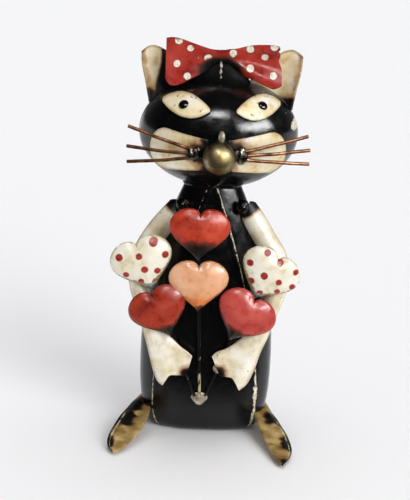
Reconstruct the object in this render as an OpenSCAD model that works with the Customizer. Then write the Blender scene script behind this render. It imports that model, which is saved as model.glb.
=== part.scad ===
// A standing tin cat with a bow, holding a bouquet of six puffed hearts.
// Millimetres, +Z up, the cat faces -Y, origin at the middle of the flat base.

/* [Body] */
// Width of the belly at its widest
belly_w = 66.2; // [60:0.1:70]
// Width of the body where it meets the head
neck_w = 28.2; // [24:0.1:32]
// Height of the body under the head
body_h = 124; // [120:1:126]
// Height of the widest part of the belly
belly_z = 36; // [30:1:42]
// How far each side comes in from the belly to the base
base_in = 5; // [4:0.5:6]
// Radius of the roll at the bottom edge
base_roll = 5; // [4:0.5:6]
// Thickness of the body and head sheet
sheet_t = 1; // [0.8:0.1:1.2]
// Half width of the front panel at its widest
panel_half_w = 26.2; // [24:0.1:27]

/* [Head] */
// Width of the head
head_w = 78.2; // [74:0.2:82]
// Depth of the head, front to back
head_d = 62; // [58:1:66]
// Height of the head
head_h = 54.2; // [52:0.2:56]
// Height of the head's middle above the base
head_z = 150.6; // [150:0.2:153]
// How far the head sits to one side of the body
head_x = 1.7; // [0:0.1:2]
// Thickness of the eye and cheek plates
plate_t = 0.8; // [0.6:0.1:1]
// Diameter of the nose ball
nose_d = 15.6; // [15:0.2:18]
// Diameter of the whisker wire
whisker_d = 1.8; // [1.4:0.1:2.2]

/* [Bouquet] */
// Width of a heart
heart_w = 30; // [27:0.5:31]
// Height of a heart, lobes to point
heart_h = 27.5; // [25:0.5:29]
// Height of a heart's front dome
heart_front = 5; // [4:0.5:6]
// Height of a heart's back dome
heart_back = 2; // [1:0.5:2.5]
// Diameter of the stem rods
stem_d = 1.5; // [1.2:0.1:1.8]

/* [Limbs] */
// Thickness of the arm, foot and tail strips
strip_t = 1.2; // [1:0.1:1.5]

/* [Hidden] */
$fn = 48;
skin_gap = 0.1;

// ---------- sheet work: a plate from a grid of points on its outer and inner skin ----------

// f(u, v, side) gives a point, u to the right and v up as seen from outside, side 0 outer and 1 inner
module plate(f, nu, nv) {
    points = [for (side = [0, 1]) for (i = [0:nu]) for (j = [0:nv]) f(i / nu, j / nv, side)];
    count = (nu + 1) * (nv + 1);
    function at(side, i, j) = side * count + i * (nv + 1) + j;
    outer = [for (i = [0:nu - 1]) for (j = [0:nv - 1]) each [
        [at(0, i, j), at(0, i, j + 1), at(0, i + 1, j + 1)],
        [at(0, i, j), at(0, i + 1, j + 1), at(0, i + 1, j)]
    ]];
    inner = [for (i = [0:nu - 1]) for (j = [0:nv - 1]) each [
        [at(1, i, j), at(1, i + 1, j + 1), at(1, i, j + 1)],
        [at(1, i, j), at(1, i + 1, j), at(1, i + 1, j + 1)]
    ]];
    ends = [for (i = [0:nu - 1]) each [
        [at(0, i, 0), at(0, i + 1, 0), at(1, i + 1, 0)],
        [at(0, i, 0), at(1, i + 1, 0), at(1, i, 0)],
        [at(0, i + 1, nv), at(0, i, nv), at(1, i, nv)],
        [at(0, i + 1, nv), at(1, i, nv), at(1, i + 1, nv)]
    ]];
    sides = [for (j = [0:nv - 1]) each [
        [at(0, 0, j + 1), at(0, 0, j), at(1, 0, j)],
        [at(0, 0, j + 1), at(1, 0, j), at(1, 0, j + 1)],
        [at(0, nu, j), at(0, nu, j + 1), at(1, nu, j + 1)],
        [at(0, nu, j), at(1, nu, j + 1), at(1, nu, j)]
    ]];
    polyhedron(points, concat(outer, inner, ends, sides), convexity = 6);
}

// a round rod between two points
module rod(from, to, d) {
    way = to - from;
    translate(from)
        rotate([0, acos(way[2] / norm(way)), atan2(way[1], way[0])])
            cylinder(d = d, h = norm(way));
}

function mix(a, b, k) = a + (b - a) * k;
// a smooth path through points, k from 0 to 1
function along(points, k) =
    let (n = len(points) - 1, s = min(n - 1, floor(k * n)), f = k * n - s,
         p0 = points[max(0, s - 1)], p1 = points[s], p2 = points[s + 1], p3 = points[min(n, s + 2)])
    0.5 * (2 * p1 + (p2 - p0) * f + (2 * p0 - 5 * p1 + 4 * p2 - p3) * f * f
        + (3 * p1 - p0 - 3 * p2 + p3) * f * f * f);

// ---------- body ----------

function rise(z) = max(0, (z - belly_z) / (body_h - belly_z));
function half_w(z) = z < belly_z
    ? belly_w / 2 - base_in * pow((belly_z - z) / belly_z, 3) - rolled(z)
    : belly_w / 2 - (belly_w - neck_w) / 2 * pow(rise(z), 2.1);
function half_d(z) = 0.56 * (half_w(z) + rolled(z)) + 1.5 - rolled(z);
// a boxy section at the base turns rounder towards the neck
function boxy(z) = 2.6 - 0.4 * z / body_h;
// the bottom edge is rolled under by a quarter round
function rolled(z) = base_roll * (1 - sqrt(1 - pow(max(0, base_roll - z) / base_roll, 2))) * 0.8;
function panel_edge(z) = panel_half_w * (1 - 0.9 * pow(max(0, z - 20) / (body_h - 20), 1.7))
    - 3 * pow(max(0, 20 - z) / 20, 3) - 0.6 * rolled(z);
function skin(z, turn, inset) =
    let (a = half_w(z) - inset, b = half_d(z) - inset, p = 2 / boxy(z))
    [a * sign(cos(turn)) * pow(abs(cos(turn)), p), b * sign(sin(turn)) * pow(abs(sin(turn)), p), z];
function front_y(x, z, inset) =
    -(half_d(z) - inset) * pow(1 - pow(abs(x) / (half_w(z) - inset), boxy(z)), 1 / boxy(z));

module front_panel() {
    color("#151515")
        plate(function (u, v, side)
            let (z = body_h * v, x = mix(-1, 1, u) * panel_edge(z))
            [x, front_y(x, z, side * sheet_t), z], 10, 16);
}

// the turn at which the skin at height z reaches a given x
function turn_at(x, z, inset) = acos(pow(x / (half_w(z) - inset), boxy(z) / 2));

// from the front seam round to the seam up the middle of the back
module side_shell() {
    plate(function (u, v, side)
        let (z = body_h * v, inset = side * sheet_t)
        skin(z, mix(-turn_at(panel_edge(z), z, inset), turn_at(skin_gap / 2, z, inset), u), inset),
        16, 16);
}

module side_shell_right() {
    color("#202020") side_shell();
}

module side_shell_left() {
    color("#202020") mirror([1, 0, 0]) side_shell();
}

module base_plate() {
    color("#191919")
        linear_extrude(sheet_t)
            polygon([for (k = [0:47]) let (p = skin(0, k * 7.5, sheet_t + skin_gap)) [p[0], p[1]]]);
}

// ---------- head ----------

module egg(grow) {
    translate([head_x, 0, head_z])
        scale([head_w / 2 + grow, head_d / 2 + grow, head_h / 2 + grow])
            sphere(1);
}

function egg_y(x, z, grow) =
    let (a = head_w / 2 + grow, b = head_d / 2 + grow, c = head_h / 2 + grow)
    -b * sqrt(max(0, 1 - x * x / (a * a) - z * z / (c * c)));
function egg_z(x, y) = head_z + head_h / 2
    * sqrt(max(0, 1 - pow((x - head_x) / head_w * 2, 2) - pow(y / head_d * 2, 2)));

module head_half(side) {
    intersection() {
        difference() {
            egg(0);
            egg(-sheet_t);
        }
        translate([-head_w, side < 0 ? -head_d : 0, head_z - head_h])
            cube([2 * head_w, head_d, 2 * head_h]);
    }
}

module head_front() {
    color("#161616") head_half(-1);
}

module head_back() {
    color("#161616") head_half(1);
}

// weld bead between the body's rim and the underside of the head
module neck_weld() {
    color("#101010")
        difference() {
            translate([0, 0, body_h])
                scale([1, half_d(body_h) / half_w(body_h), 1])
                    rotate_extrude()
                        translate([neck_w / 2 - 2.4, 0])
                            square([3.2, 3]);
            egg(skin_gap);
        }
}

// a plate that lies on the head: rows from low(u) to high(u), x from x0 to x1, in head terms
module face_plate(x0, x1, low, high, nu, nv) {
    translate([head_x, 0, head_z])
        plate(function (u, v, side)
            let (x = mix(x0, x1, u), z = mix(low(u), high(u), v))
            [x, egg_y(x, z, skin_gap + plate_t * (1 - side)), z], nu, nv);
}

// almond eye plates: a little different in width
eye_z = 15.8;
function almond(u) = 0.04 + 0.96 * pow(sin(180 * mix(0.02, 0.98, u)), 0.8);
module eye_left() {
    color("#e8dfc4")
        face_plate(-27.6, -4.6,
            function (u) mix(eye_z + 1, eye_z - 1, u) - 5 * almond(u),
            function (u) mix(eye_z + 1, eye_z - 1, u) + 5.8 * almond(u), 12, 5);
}

module eye_right() {
    color("#e8dfc4")
        face_plate(8.1, 29.1,
            function (u) mix(eye_z - 1, eye_z + 1, u) - 5 * almond(u),
            function (u) mix(eye_z - 1, eye_z + 1, u) + 5.8 * almond(u), 12, 5);
}

// turn +Z to a direction
module facing(way) {
    rotate([0, acos(way[2] / norm(way)), atan2(way[1], way[0])])
        children();
}

// domed bead of the pupil, on top of the eye plate
module pupil(x, z) {
    bead_r = 3.2;
    sunk = 1.8;
    p = [x, egg_y(x, z, plate_t + 2 * skin_gap), z];
    out = [p[0] / pow(head_w, 2), p[1] / pow(head_d, 2), p[2] / pow(head_h, 2)];
    color("#0c0c0c")
        translate([head_x, 0, head_z] + p)
            facing(out)
                difference() {
                    translate([0, 0, -sunk])
                        sphere(bead_r);
                    translate([-bead_r, -bead_r, -2 * bead_r])
                        cube(2 * bead_r);
                }
}

module pupil_left() {
    pupil(-17.2, 16.4);
}

module pupil_right() {
    pupil(20.4, 17);
}

// cheek plates: paddles with a round outer end
function paddle(u) = u < 0.68 ? 1 : sqrt(max(0.003, 1 - pow((u - 0.68) / 0.32, 2)));
function cheek_mid(u) = -6 + 0.3 * u;
module cheek(x0, x1) {
    face_plate(x0, x1,
        function (u) cheek_mid(u) - mix(8, 11.4, u) * paddle(u),
        function (u) cheek_mid(u) + mix(7.5, 12.4, u) * paddle(u), 12, 6);
}

module cheek_right() {
    color("#e8dfc4") cheek(4.8, 32.8);
}

module cheek_left() {
    color("#e8dfc4") translate([2 * head_x, 0, 0]) mirror([1, 0, 0]) cheek(4.8, 32.8);
}

nose_at = [head_x + 0.6, -38.7, head_z - 5.6];
module nose_ball() {
    color("#9a8146")
        translate(nose_at)
            sphere(d = nose_d);
}

// ring of braze in the corner between the nose ball and the head
module nose_weld() {
    back = nose_d / 2;
    color("#8f8a76")
        translate(nose_at)
            rotate([-90, 0, 0])
                rotate_extrude()
                    polygon([[3.3, back - 0.5], [6.2, back - 0.5], [6.1, back - 1.4], [5.75, back - 2.1]]);
}

// whisker roots and tips on one side: the row is top, middle, bottom
whisker_root = [[-9.5, -33.6, 147.3], [-9.2, -33.8, 145.6], [-9.5, -33.6, 143.9]];
whisker_tip_left = [[-41, -26, 156.3], [-41.6, -26, 146.6], [-41.2, -26, 139.1]];
whisker_tip_right = [[43.9, -26, 154.8], [45.2, -26, 148.1], [45, -26, 141.5]];
function mirrored(p) = [2 * head_x - p[0], p[1], p[2]];
module whisker(side, k) {
    color("#9c5a35")
        rod(side < 0 ? whisker_root[k] : mirrored(whisker_root[k]),
            side < 0 ? whisker_tip_left[k] : whisker_tip_right[k], whisker_d);
}

module whisker_weld(side) {
    middle = [-9.6, -32.6, 145.6];
    color("#777468")
        difference() {
            translate(side < 0 ? middle : mirrored(middle))
                sphere(3.3);
            egg(plate_t + 2 * skin_gap);
            for (k = [0:2])
                whisker(side, k);
            translate(nose_at)
                sphere(d = nose_d + 0.02);
        }
}

// ears: cupped sheets that stand on the head
ear_outer_right = [[34.6, 163], [36.4, 173], [38.2, 182], [38.6, 189]];
ear_outer_left = [[33.6, 163], [35.6, 173], [37.7, 182], [38.2, 188.4]];
ear_inner = [[14, 175.5], [16, 180], [20, 184.5], [25, 188.2]];
function ear_tip_lift(u, v) = 3 * pow(v, 4) * sin(180 * pow(u, 1.5));
module ear(ear_outer) {
    plate(function (u, v, side)
        let (a = along(ear_inner, v), b = along(ear_outer, v), q = mix(a, b, u),
             cup = 5 * (1 - 0.5 * v) * sin(180 * pow(u, 1.4)), x = q[0],
             base = egg_z(x + head_x, 0) + 0.6)
        [x, cup - strip_t * (1 - side) - 1,
         v == 0 ? base : max(base, q[1] + ear_tip_lift(u, v))], 8, 8);
}

module ear_right() {
    color("#c9b48a") translate([head_x, 0, 0]) ear(ear_outer_right);
}

module ear_left() {
    color("#c9b48a") translate([head_x, 0, 0]) mirror([1, 0, 0]) ear(ear_outer_left);
}

// bow: one bent sheet, stations are [x, lower z, upper z], left to right
bow_stations = [
    [-25, 177, 196.5], [-22.5, 174.1, 197], [-18.5, 174.4, 196.6], [-12.7, 177.4, 194.6],
    [-6.5, 180.8, 192.6], [-2.6, 184.2, 191.7], [2, 186.2, 191.5], [6.6, 183.8, 192.2],
    [10.8, 180, 193.4], [17, 178, 195], [22.5, 175.8, 195.6], [27, 174.2, 195.5],
    [30.2, 176, 194]
];
bow_y = -8;
function bow_fold(x) = 0.7 * cos((x - 2) * 22) - 2.2 * pow(abs(x - 2) / 28, 2);
module bow() {
    color("#b3201f")
        plate(function (u, v, side)
            let (s = along(bow_stations, u), z = mix(s[1], s[2], v))
            [s[0], bow_y + bow_fold(s[0]) - 1.5 * v - sheet_t * (1 - side) + 3 * pow(v - 0.5, 2), z], 24, 5);
}

// lump of weld that holds the bow's arch to the top of the head
module bow_weld() {
    color("#0d0d0d")
        difference() {
            translate([2, bow_y + 3.5, 178])
                scale([12.5, 4, 8])
                    sphere(1);
            egg(skin_gap);
        }
}

// ---------- bouquet ----------

function heart_x(t) = pow(sin(t), 3);
function heart_z(t) = (13.5 * cos(t) - 3.2 * cos(2 * t) - 1.5 * cos(3 * t) - 0.8 * cos(4 * t)) / 27.3;
// distance from the heart's middle down to its point, as a share of its height
point_drop = 0.586;

// a puffed heart in the XZ plane, front towards -Y, its point at the origin
module heart() {
    rings = 5;
    steps = 32;
    function ring(side, k) = [for (i = [0:steps - 1])
        let (t = i * 360 / steps, r = k / rings,
             dome = pow(max(0, 1 - r * r), 0.62))
        [heart_w / 2 * r * heart_x(t),
         side * dome,
         heart_h * (point_drop + r * heart_z(t))]];
    rim = ring(0, rings);
    front = [for (k = [rings - 1:-1:1]) each ring(-heart_front, k)];
    back = [for (k = [rings - 1:-1:1]) each ring(heart_back, k)];
    points = concat(rim, front, [[0, -heart_front, heart_h * point_drop]],
        back, [[0, heart_back, heart_h * point_drop]]);
    front_pole = steps * rings;
    back_start = front_pole + 1;
    back_pole = back_start + steps * (rings - 1);
    function f_at(k, i) = k * steps + i % steps;
    function b_at(k, i) = k == 0 ? i % steps : back_start + (k - 1) * steps + i % steps;
    faces = concat(
        [for (k = [0:rings - 2]) for (i = [0:steps - 1]) each [
            [f_at(k, i), f_at(k, i + 1), f_at(k + 1, i + 1)],
            [f_at(k, i), f_at(k + 1, i + 1), f_at(k + 1, i)]
        ]],
        [for (i = [0:steps - 1]) [f_at(rings - 1, i), f_at(rings - 1, i + 1), front_pole]],
        [for (k = [0:rings - 2]) for (i = [0:steps - 1]) each [
            [b_at(k, i + 1), b_at(k, i), b_at(k + 1, i + 1)],
            [b_at(k, i), b_at(k + 1, i), b_at(k + 1, i + 1)]
        ]],
        [for (i = [0:steps - 1]) [b_at(rings - 1, i + 1), b_at(rings - 1, i), back_pole]]);
    polyhedron(points, faces, convexity = 4);
}

// one row per heart: point x, y, z, lean to the right in degrees, size
place_top = [-5.7, -25, 90, 1, 0.99];
place_peach = [-4.7, -28, 65.4, -1, 0.97];
place_lower_red = [-17, -28, 52.3, -25, 0.98];
place_rose = [10.2, -28, 51.8, 30, 1];
place_dotted_left = [-26.6, -25, 74.3, -21, 1.03];
place_dotted_right = [21.2, -25, 72.4, 29, 1];
module placed_heart(place) {
    translate([place[0], place[1], place[2]])
        rotate([0, place[3], 0])
            scale(place[4])
                heart();
}

module heart_top_red() {
    color("#a81f1c") placed_heart(place_top);
}

module heart_peach() {
    color("#e08a68") placed_heart(place_peach);
}

module heart_lower_red() {
    color("#a81f1c") placed_heart(place_lower_red);
}

module heart_rose() {
    color("#b5303a") placed_heart(place_rose);
}

module heart_dotted_left() {
    color("#ece4cc") placed_heart(place_dotted_left);
}

module heart_dotted_right() {
    color("#ece4cc") placed_heart(place_dotted_right);
}

// stems: from the bouquet weld up behind the lower hearts to the upper hearts' points
stem_y = -23;
stem_foot = -21.4;
stem_left_ends = [[-4.6, stem_foot, 20.6], [-26.3, stem_y, 75.5]];
stem_centre_ends = [[-2.3, stem_foot, 20], [-5.2, stem_y, 91.5]];
stem_right_ends = [[0.4, stem_foot, 21], [20.9, stem_y, 73.5]];
module stem(ends) {
    color("#3a3733") rod(ends[0], ends[1], stem_d);
}

// shield shaped puddle of weld where the stems meet the front panel
module bouquet_weld() {
    color("#d8cfb4")
        difference() {
            translate([-2.3, -19.95, 0])
                rotate([90, 0, 0])
                    linear_extrude(2)
                        polygon([[-4.2, 21.7], [-1.5, 21.2], [1.5, 21.2], [4.2, 22.2], [3, 18.6], [0, 15.6], [-3, 18.4]]);
            stem(stem_left_ends);
            stem(stem_centre_ends);
            stem(stem_right_ends);
        }
}

// ---------- arms ----------

// the two edges of each arm in [x, z], shoulder to finger ends, and the way between the finger ends
arm_outer_right = [[19.5, 118], [25.1, 111], [30.5, 102.5], [36.5, 93], [38.8, 83], [36.8, 74], [33.4, 65],
                   [30, 55.5], [26.2, 45.5], [23.6, 36], [20.6, 29], [16.8, 25.5]];
arm_inner_right = [[14.5, 114], [16.8, 107.5], [22.8, 98], [28.3, 90], [30, 82], [28.3, 71.5], [24.6, 61.5],
                   [19.6, 53.5], [14, 48.3], [9.4, 45.8], [5.4, 44.3], [3.4, 42.2]];
fingers_right = [[16.8, 25.5], [14.6, 30.4], [13.4, 31.4], [11, 32.6], [7.8, 38.4], [3.4, 42.2]];
arm_outer_left = [[-18.5, 117.5], [-25, 110.5], [-30.8, 103], [-36.2, 93.5], [-38.6, 83.5], [-37.4, 74],
                  [-34, 64.5], [-30.8, 55.5], [-28, 45.5], [-25.6, 35.5], [-23.2, 29], [-20.3, 26.5]];
arm_inner_left = [[-13.5, 113.5], [-17, 106], [-22.4, 99.2], [-28, 90.5], [-30, 82], [-28.8, 71.5],
                  [-25.4, 61.5], [-21.5, 54], [-16.5, 49.4], [-12.5, 46], [-9.2, 44], [-6.8, 42]];
fingers_left = [[-20.3, 26.5], [-18.2, 31.4], [-17, 32.6], [-14.6, 33.6], [-11, 38.1], [-6.8, 42]];
// how far forward the edges are, and how far the strip bulges in front of them
arm_edge_y = [-7, -8.5, -10, -12, -15, -18.5, -21, -22.6, -23, -23, -23, -23];
arm_bulge = [2.5, 3.6, 3.8, 3.8, 3.8, 3.8, 3.6, 3, 2.2, 1.6, 1.2, 1];
function ease(k) = k <= 0 ? 0 : k >= 1 ? 1 : k * k * (3 - 2 * k);
module arm(outer, inner, fingers) {
    plate(function (u, v, side)
        let (a = along(outer, v), b = along(inner, v),
             notch = along(fingers, u) - mix(fingers[0], fingers[5], u),
             p = mix(a, b, u) + notch * ease((v - 0.86) / 0.14),
             y = along([for (k = arm_edge_y) [k]], v)[0],
             bulge = along([for (k = arm_bulge) [k]], v)[0])
        [p[0], y - bulge * pow(sin(180 * u), 0.75) + side * strip_t, p[1]], 8, 33);
}

module arm_right() {
    color("#e8dfc4")
        mirror([1, 0, 0])
            arm([for (p = arm_outer_right) [-p[0], p[1]]], [for (p = arm_inner_right) [-p[0], p[1]]],
                [for (p = fingers_right) [-p[0], p[1]]]);
}

module arm_left() {
    color("#e8dfc4") arm(arm_outer_left, arm_inner_left, fingers_left);
}

// lump of weld over the top end of each arm
module shoulder_weld(side) {
    color("#0d0d0d")
        translate([side < 0 ? -14.6 : 15, -11.6, 116])
            sphere(3.6);
}

// round bead that fixes a hand to its stem
module hand_weld(ends) {
    color("#b8b09a")
        translate(mix(ends[0], ends[1], 0.28))
            facing(ends[1] - ends[0])
                rotate_extrude()
                    difference() {
                        circle(1.9);
                        translate([-3, -3])
                            square([3 + stem_d / 2, 6]);
                    }
}

// ---------- feet and tail ----------

// each foot is a leaf strip from the side shell down to the table, its outer rim turned down:
// the two edges in [x, y, z], root to tip
foot_outer_right = [[29.5, 8, 12], [33.5, -4.5, 9.2], [37.9, -16.5, 6.6], [41.6, -29, 4.4], [43.4, -41, 2.6],
                    [42.6, -51, 1.9], [38.6, -61, 1.6]];
foot_inner_right = [[23.5, 6, 11.5], [25.2, -9, 9.5], [26.8, -21, 7.7], [29.9, -34, 5], [33.2, -46.5, 3],
                    [35.6, -55.5, 1.9], [38.6, -61, 1.6]];
foot_outer_left = [[-29.5, 10, 12.5], [-35, -3, 10.6], [-40, -15.5, 8.2], [-43.6, -27, 5.8], [-45.8, -38, 3.6],
                   [-45.6, -46.5, 2.1], [-42.4, -53.6, 1.6]];
foot_inner_left = [[-24.5, 6, 11.5], [-26.4, -9, 9.7], [-27.6, -20.5, 7.8], [-30.2, -31, 5.2], [-33.9, -40, 3.4],
                   [-38, -48, 2], [-42.4, -53.6, 1.6]];
module foot(outer, inner) {
    plate(function (u, v, side)
        let (a = along(outer, v), b = along(inner, v), p = mix(b, a, u),
             rim = 1.8 * pow(u, 6) * (1 - v) + 0.3)
        [p[0], p[1], max(side * -strip_t + strip_t, p[2] - rim - side * strip_t)], 8, 14);
}

// the strip is cut off square where it meets the side shell
module body_core() {
    cut_z = 14;
    translate([0, 0, -1])
        linear_extrude(cut_z + 6)
            polygon([for (k = [0:47]) let (p = skin(cut_z, k * 7.5, -skin_gap)) [p[0], p[1]]]);
}

module foot_right() {
    color("#b89c68")
        difference() {
            foot(foot_outer_right, foot_inner_right);
            body_core();
        }
}

module foot_left() {
    color("#b89c68")
        difference() {
            mirror([1, 0, 0])
                foot([for (p = foot_outer_left) [-p[0], p[1], p[2]]], [for (p = foot_inner_left) [-p[0], p[1], p[2]]]);
            body_core();
        }
}

// tail: a tapering strip that leaves the back seam low down and curls up
tail_path = [[0, 22.6, 12], [1, 31, 10], [4, 40, 16], [8, 44, 30], [11, 41, 46], [10, 37, 60], [6, 36.5, 70]];
module tail() {
    color("#b89c68")
        plate(function (u, v, side)
            let (p = along(tail_path, v), w = mix(9, 3.2, v))
            p + [-mix(-0.5, 0.5, u) * w, strip_t * (1 - side), 0], 3, 16);
}

module tail_weld() {
    color("#101010")
        translate([0, 19.2, 12])
            rotate([-90, 0, 0])
                cylinder(d1 = 9, d2 = 6, h = 3.2);
}

front_panel();
side_shell_left();
side_shell_right();
base_plate();
neck_weld();
head_front();
head_back();
ear_left();
ear_right();
bow();
bow_weld();
eye_left();
eye_right();
pupil_left();
pupil_right();
cheek_left();
cheek_right();
nose_ball();
nose_weld();
whisker_weld(-1);  // whisker_weld_left
whisker_weld(1);  // whisker_weld_right
whisker(-1, 0);  // whisker_left_top
whisker(-1, 1);  // whisker_left_middle
whisker(-1, 2);  // whisker_left_bottom
whisker(1, 0);  // whisker_right_top
whisker(1, 1);  // whisker_right_middle
whisker(1, 2);  // whisker_right_bottom
arm_left();
arm_right();
shoulder_weld(-1);  // shoulder_weld_left
shoulder_weld(1);  // shoulder_weld_right
stem(stem_left_ends);  // stem_left
stem(stem_centre_ends);  // stem_centre
stem(stem_right_ends);  // stem_right
bouquet_weld();
hand_weld(stem_left_ends);  // hand_weld_left
hand_weld(stem_right_ends);  // hand_weld_right
heart_top_red();
heart_peach();
heart_lower_red();
heart_rose();
heart_dotted_left();
heart_dotted_right();
foot_left();
foot_right();
tail();
tail_weld();
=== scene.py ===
"""A standing tin cat with a bow, holding a bouquet of six puffed hearts, made piece by piece."""

import math

import bmesh
import bpy
from mathutils import Matrix, Vector, noise


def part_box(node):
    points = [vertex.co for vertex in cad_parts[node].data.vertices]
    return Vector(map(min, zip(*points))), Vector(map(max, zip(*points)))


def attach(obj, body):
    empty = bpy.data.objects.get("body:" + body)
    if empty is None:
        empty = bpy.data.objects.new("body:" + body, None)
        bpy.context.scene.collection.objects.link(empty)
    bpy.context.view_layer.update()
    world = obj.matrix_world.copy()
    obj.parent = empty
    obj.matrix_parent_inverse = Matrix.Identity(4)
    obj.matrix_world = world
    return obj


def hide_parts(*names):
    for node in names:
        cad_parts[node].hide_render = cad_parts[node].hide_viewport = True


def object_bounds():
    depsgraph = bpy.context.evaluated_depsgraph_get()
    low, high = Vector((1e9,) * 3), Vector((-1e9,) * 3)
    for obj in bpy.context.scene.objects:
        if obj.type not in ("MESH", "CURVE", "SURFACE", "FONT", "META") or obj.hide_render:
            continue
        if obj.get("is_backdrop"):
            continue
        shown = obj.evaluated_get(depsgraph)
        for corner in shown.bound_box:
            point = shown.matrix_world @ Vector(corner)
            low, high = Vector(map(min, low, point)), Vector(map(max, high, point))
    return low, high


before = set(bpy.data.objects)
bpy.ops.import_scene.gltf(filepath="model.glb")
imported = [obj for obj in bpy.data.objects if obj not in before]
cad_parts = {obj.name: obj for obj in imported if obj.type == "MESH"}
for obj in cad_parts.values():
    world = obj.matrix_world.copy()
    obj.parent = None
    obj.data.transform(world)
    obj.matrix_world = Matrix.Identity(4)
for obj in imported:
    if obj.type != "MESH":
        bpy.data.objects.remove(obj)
cad_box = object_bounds()

# ---------------------------------------------------------------- the studio
# A pale table top, an even white room, a soft box high on the right, and black screens in front,
# so that the enamel shows dark panels with bright edges.

MM = 0.001
scene = bpy.context.scene
scene.view_settings.view_transform = "Standard"


def colour(text):
    """The shader's colour for a painter's hex colour."""
    parts = [int(text[i:i + 2], 16) / 255 for i in (1, 3, 5)]
    return tuple(p / 12.92 if p < 0.04 else ((p + 0.055) / 1.055) ** 2.4 for p in parts) + (1.0,)


def set_range(node, *numbers):
    """A Map Range node's limits, from low, from high, to low and to high."""
    for socket, number in zip(("From Min", "From Max", "To Min", "To Max"), numbers):
        node.inputs[socket].default_value = number


class Finish:
    """One finish, built up step by step out of shader nodes."""

    def __init__(self, name):
        self.material = bpy.data.materials.new(name)
        self.material.use_nodes = True
        self.tree = self.material.node_tree
        self.shader = self.tree.nodes["Principled BSDF"]
        self.place = self.add("ShaderNodeTexCoord").outputs["Object"]

    def add(self, kind, **settings):
        node = self.tree.nodes.new(kind)
        for setting, value in settings.items():
            setattr(node, setting, value)
        return node

    def put(self, value, socket):
        """A link where the value comes from another node, or else a plain setting."""
        if isinstance(value, bpy.types.NodeSocket):
            self.tree.links.new(value, socket)
        else:
            socket.default_value = value

    def cloud(self, size, detail=3.0, stretch=(1, 1, 1), shift=0.0):
        """Soft noise from 0 to 1 whose blobs are about size mm across."""
        mapping = self.add("ShaderNodeMapping")
        mapping.inputs["Scale"].default_value = stretch
        mapping.inputs["Location"].default_value = (shift, shift, shift)
        self.put(self.place, mapping.inputs["Vector"])
        node = self.add("ShaderNodeTexNoise")
        self.put(mapping.outputs["Vector"], node.inputs["Vector"])
        node.inputs["Scale"].default_value = 1 / (size * MM)
        node.inputs["Detail"].default_value = detail
        return node.outputs["Fac"]

    def grit(self, size, shift=0.0):
        """Distance from scattered points, for specks about size mm apart."""
        mapping = self.add("ShaderNodeMapping")
        mapping.inputs["Location"].default_value = (shift, shift, shift)
        self.put(self.place, mapping.inputs["Vector"])
        node = self.add("ShaderNodeTexVoronoi")
        self.put(mapping.outputs["Vector"], node.inputs["Vector"])
        node.inputs["Scale"].default_value = 1 / (size * MM)
        return node.outputs["Distance"]

    def mark(self, name):
        return self.add("ShaderNodeAttribute", attribute_name=name).outputs["Fac"]

    def sum(self, operation, first, second):
        node = self.add("ShaderNodeMath", operation=operation)
        self.put(first, node.inputs[0])
        self.put(second, node.inputs[1])
        return node.outputs["Value"]

    def step(self, value, low, high, out_low=0.0, out_high=1.0):
        """Rises smoothly from out_low to out_high while the value goes from low to high."""
        node = self.add("ShaderNodeMapRange", interpolation_type="SMOOTHSTEP")
        self.put(value, node.inputs["Value"])
        set_range(node, low, high, out_low, out_high)
        return node.outputs["Result"]

    def frayed(self, mark, cloud, ragged, low=0.3, high=0.7):
        """A mark on the piece, its border made ragged by up to this much with a cloud."""
        return self.sum("ADD", mark, self.step(cloud, low, high, -ragged, ragged))

    def specks(self, gap, shift, small, large, where):
        """Specks gap mm apart, on only part of the piece: where is (cloud's size, shift, none, all)."""
        size, moved, none, all_there = where
        spot = self.step(self.grit(gap, shift), small, large, 1.0, 0.0)
        return self.sum("MULTIPLY", spot, self.step(self.cloud(size, 2, shift=moved), none, all_there))

    def ramp(self, value, stops):
        """Colours along a value, given as (place, colour) pairs."""
        node = self.add("ShaderNodeValToRGB")
        self.put(value, node.inputs["Fac"])
        band = node.color_ramp.elements
        while len(band) < len(stops):
            band.new(0.5)
        for element, (where, tint) in zip(band, stops):
            element.position = where
            element.color = colour(tint)
        return node.outputs["Color"]

    def over(self, share, under, top, strength=1.0):
        """The top colour laid over the one under it, as thick as share times strength."""
        node = self.add("ShaderNodeMix", data_type="RGBA")
        self.put(share if strength == 1 else self.sum("MULTIPLY", share, strength), node.inputs["Factor"])
        self.put(colour(under) if isinstance(under, str) else under, node.inputs[6])
        self.put(colour(top) if isinstance(top, str) else top, node.inputs[7])
        return node.outputs[2]

    def relief(self, height, depth, under=None):
        """A bump of depth mm where the height goes from 0 to 1."""
        node = self.add("ShaderNodeBump")
        node.inputs["Distance"].default_value = depth * MM
        self.put(height, node.inputs["Height"])
        if under is not None:
            self.put(under, node.inputs["Normal"])
        return node.outputs["Normal"]

    def beaten(self, fine, fine_depth, broad, broad_depth):
        """Fine orange peel over broad hammer marks, as sizes and depths in mm."""
        skin = self.relief(self.cloud(fine, 3), fine_depth)
        return self.relief(self.cloud(broad, 3, shift=0.7), broad_depth, skin)

    def done(self, tint, rough, relief=None, metal=0.0, gloss=0.5):
        """Closes the finish: gloss is the strength of the reflection."""
        self.put(tint, self.shader.inputs["Base Color"])
        self.put(rough, self.shader.inputs["Roughness"])
        self.put(metal, self.shader.inputs["Metallic"])
        self.shader.inputs["Specular IOR Level"].default_value = gloss
        if relief is not None:
            self.put(relief, self.shader.inputs["Normal"])
        return self.material


FLOOR_SPAN = 30.0
ROOM_WHITE = 0.45
FLOOR_SCREEN = (-0.09, -0.02)
# each screen: the way it looks, and how bright the room is between two directions that way
SCREENS = (("Y", (0.1, 0.8, 0.008, 0.2)), ("Z", (0.3, 0.7, 1.0, 0.1)), ("X", (-0.7, 0.7, 0.7, 1.1)))


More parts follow.
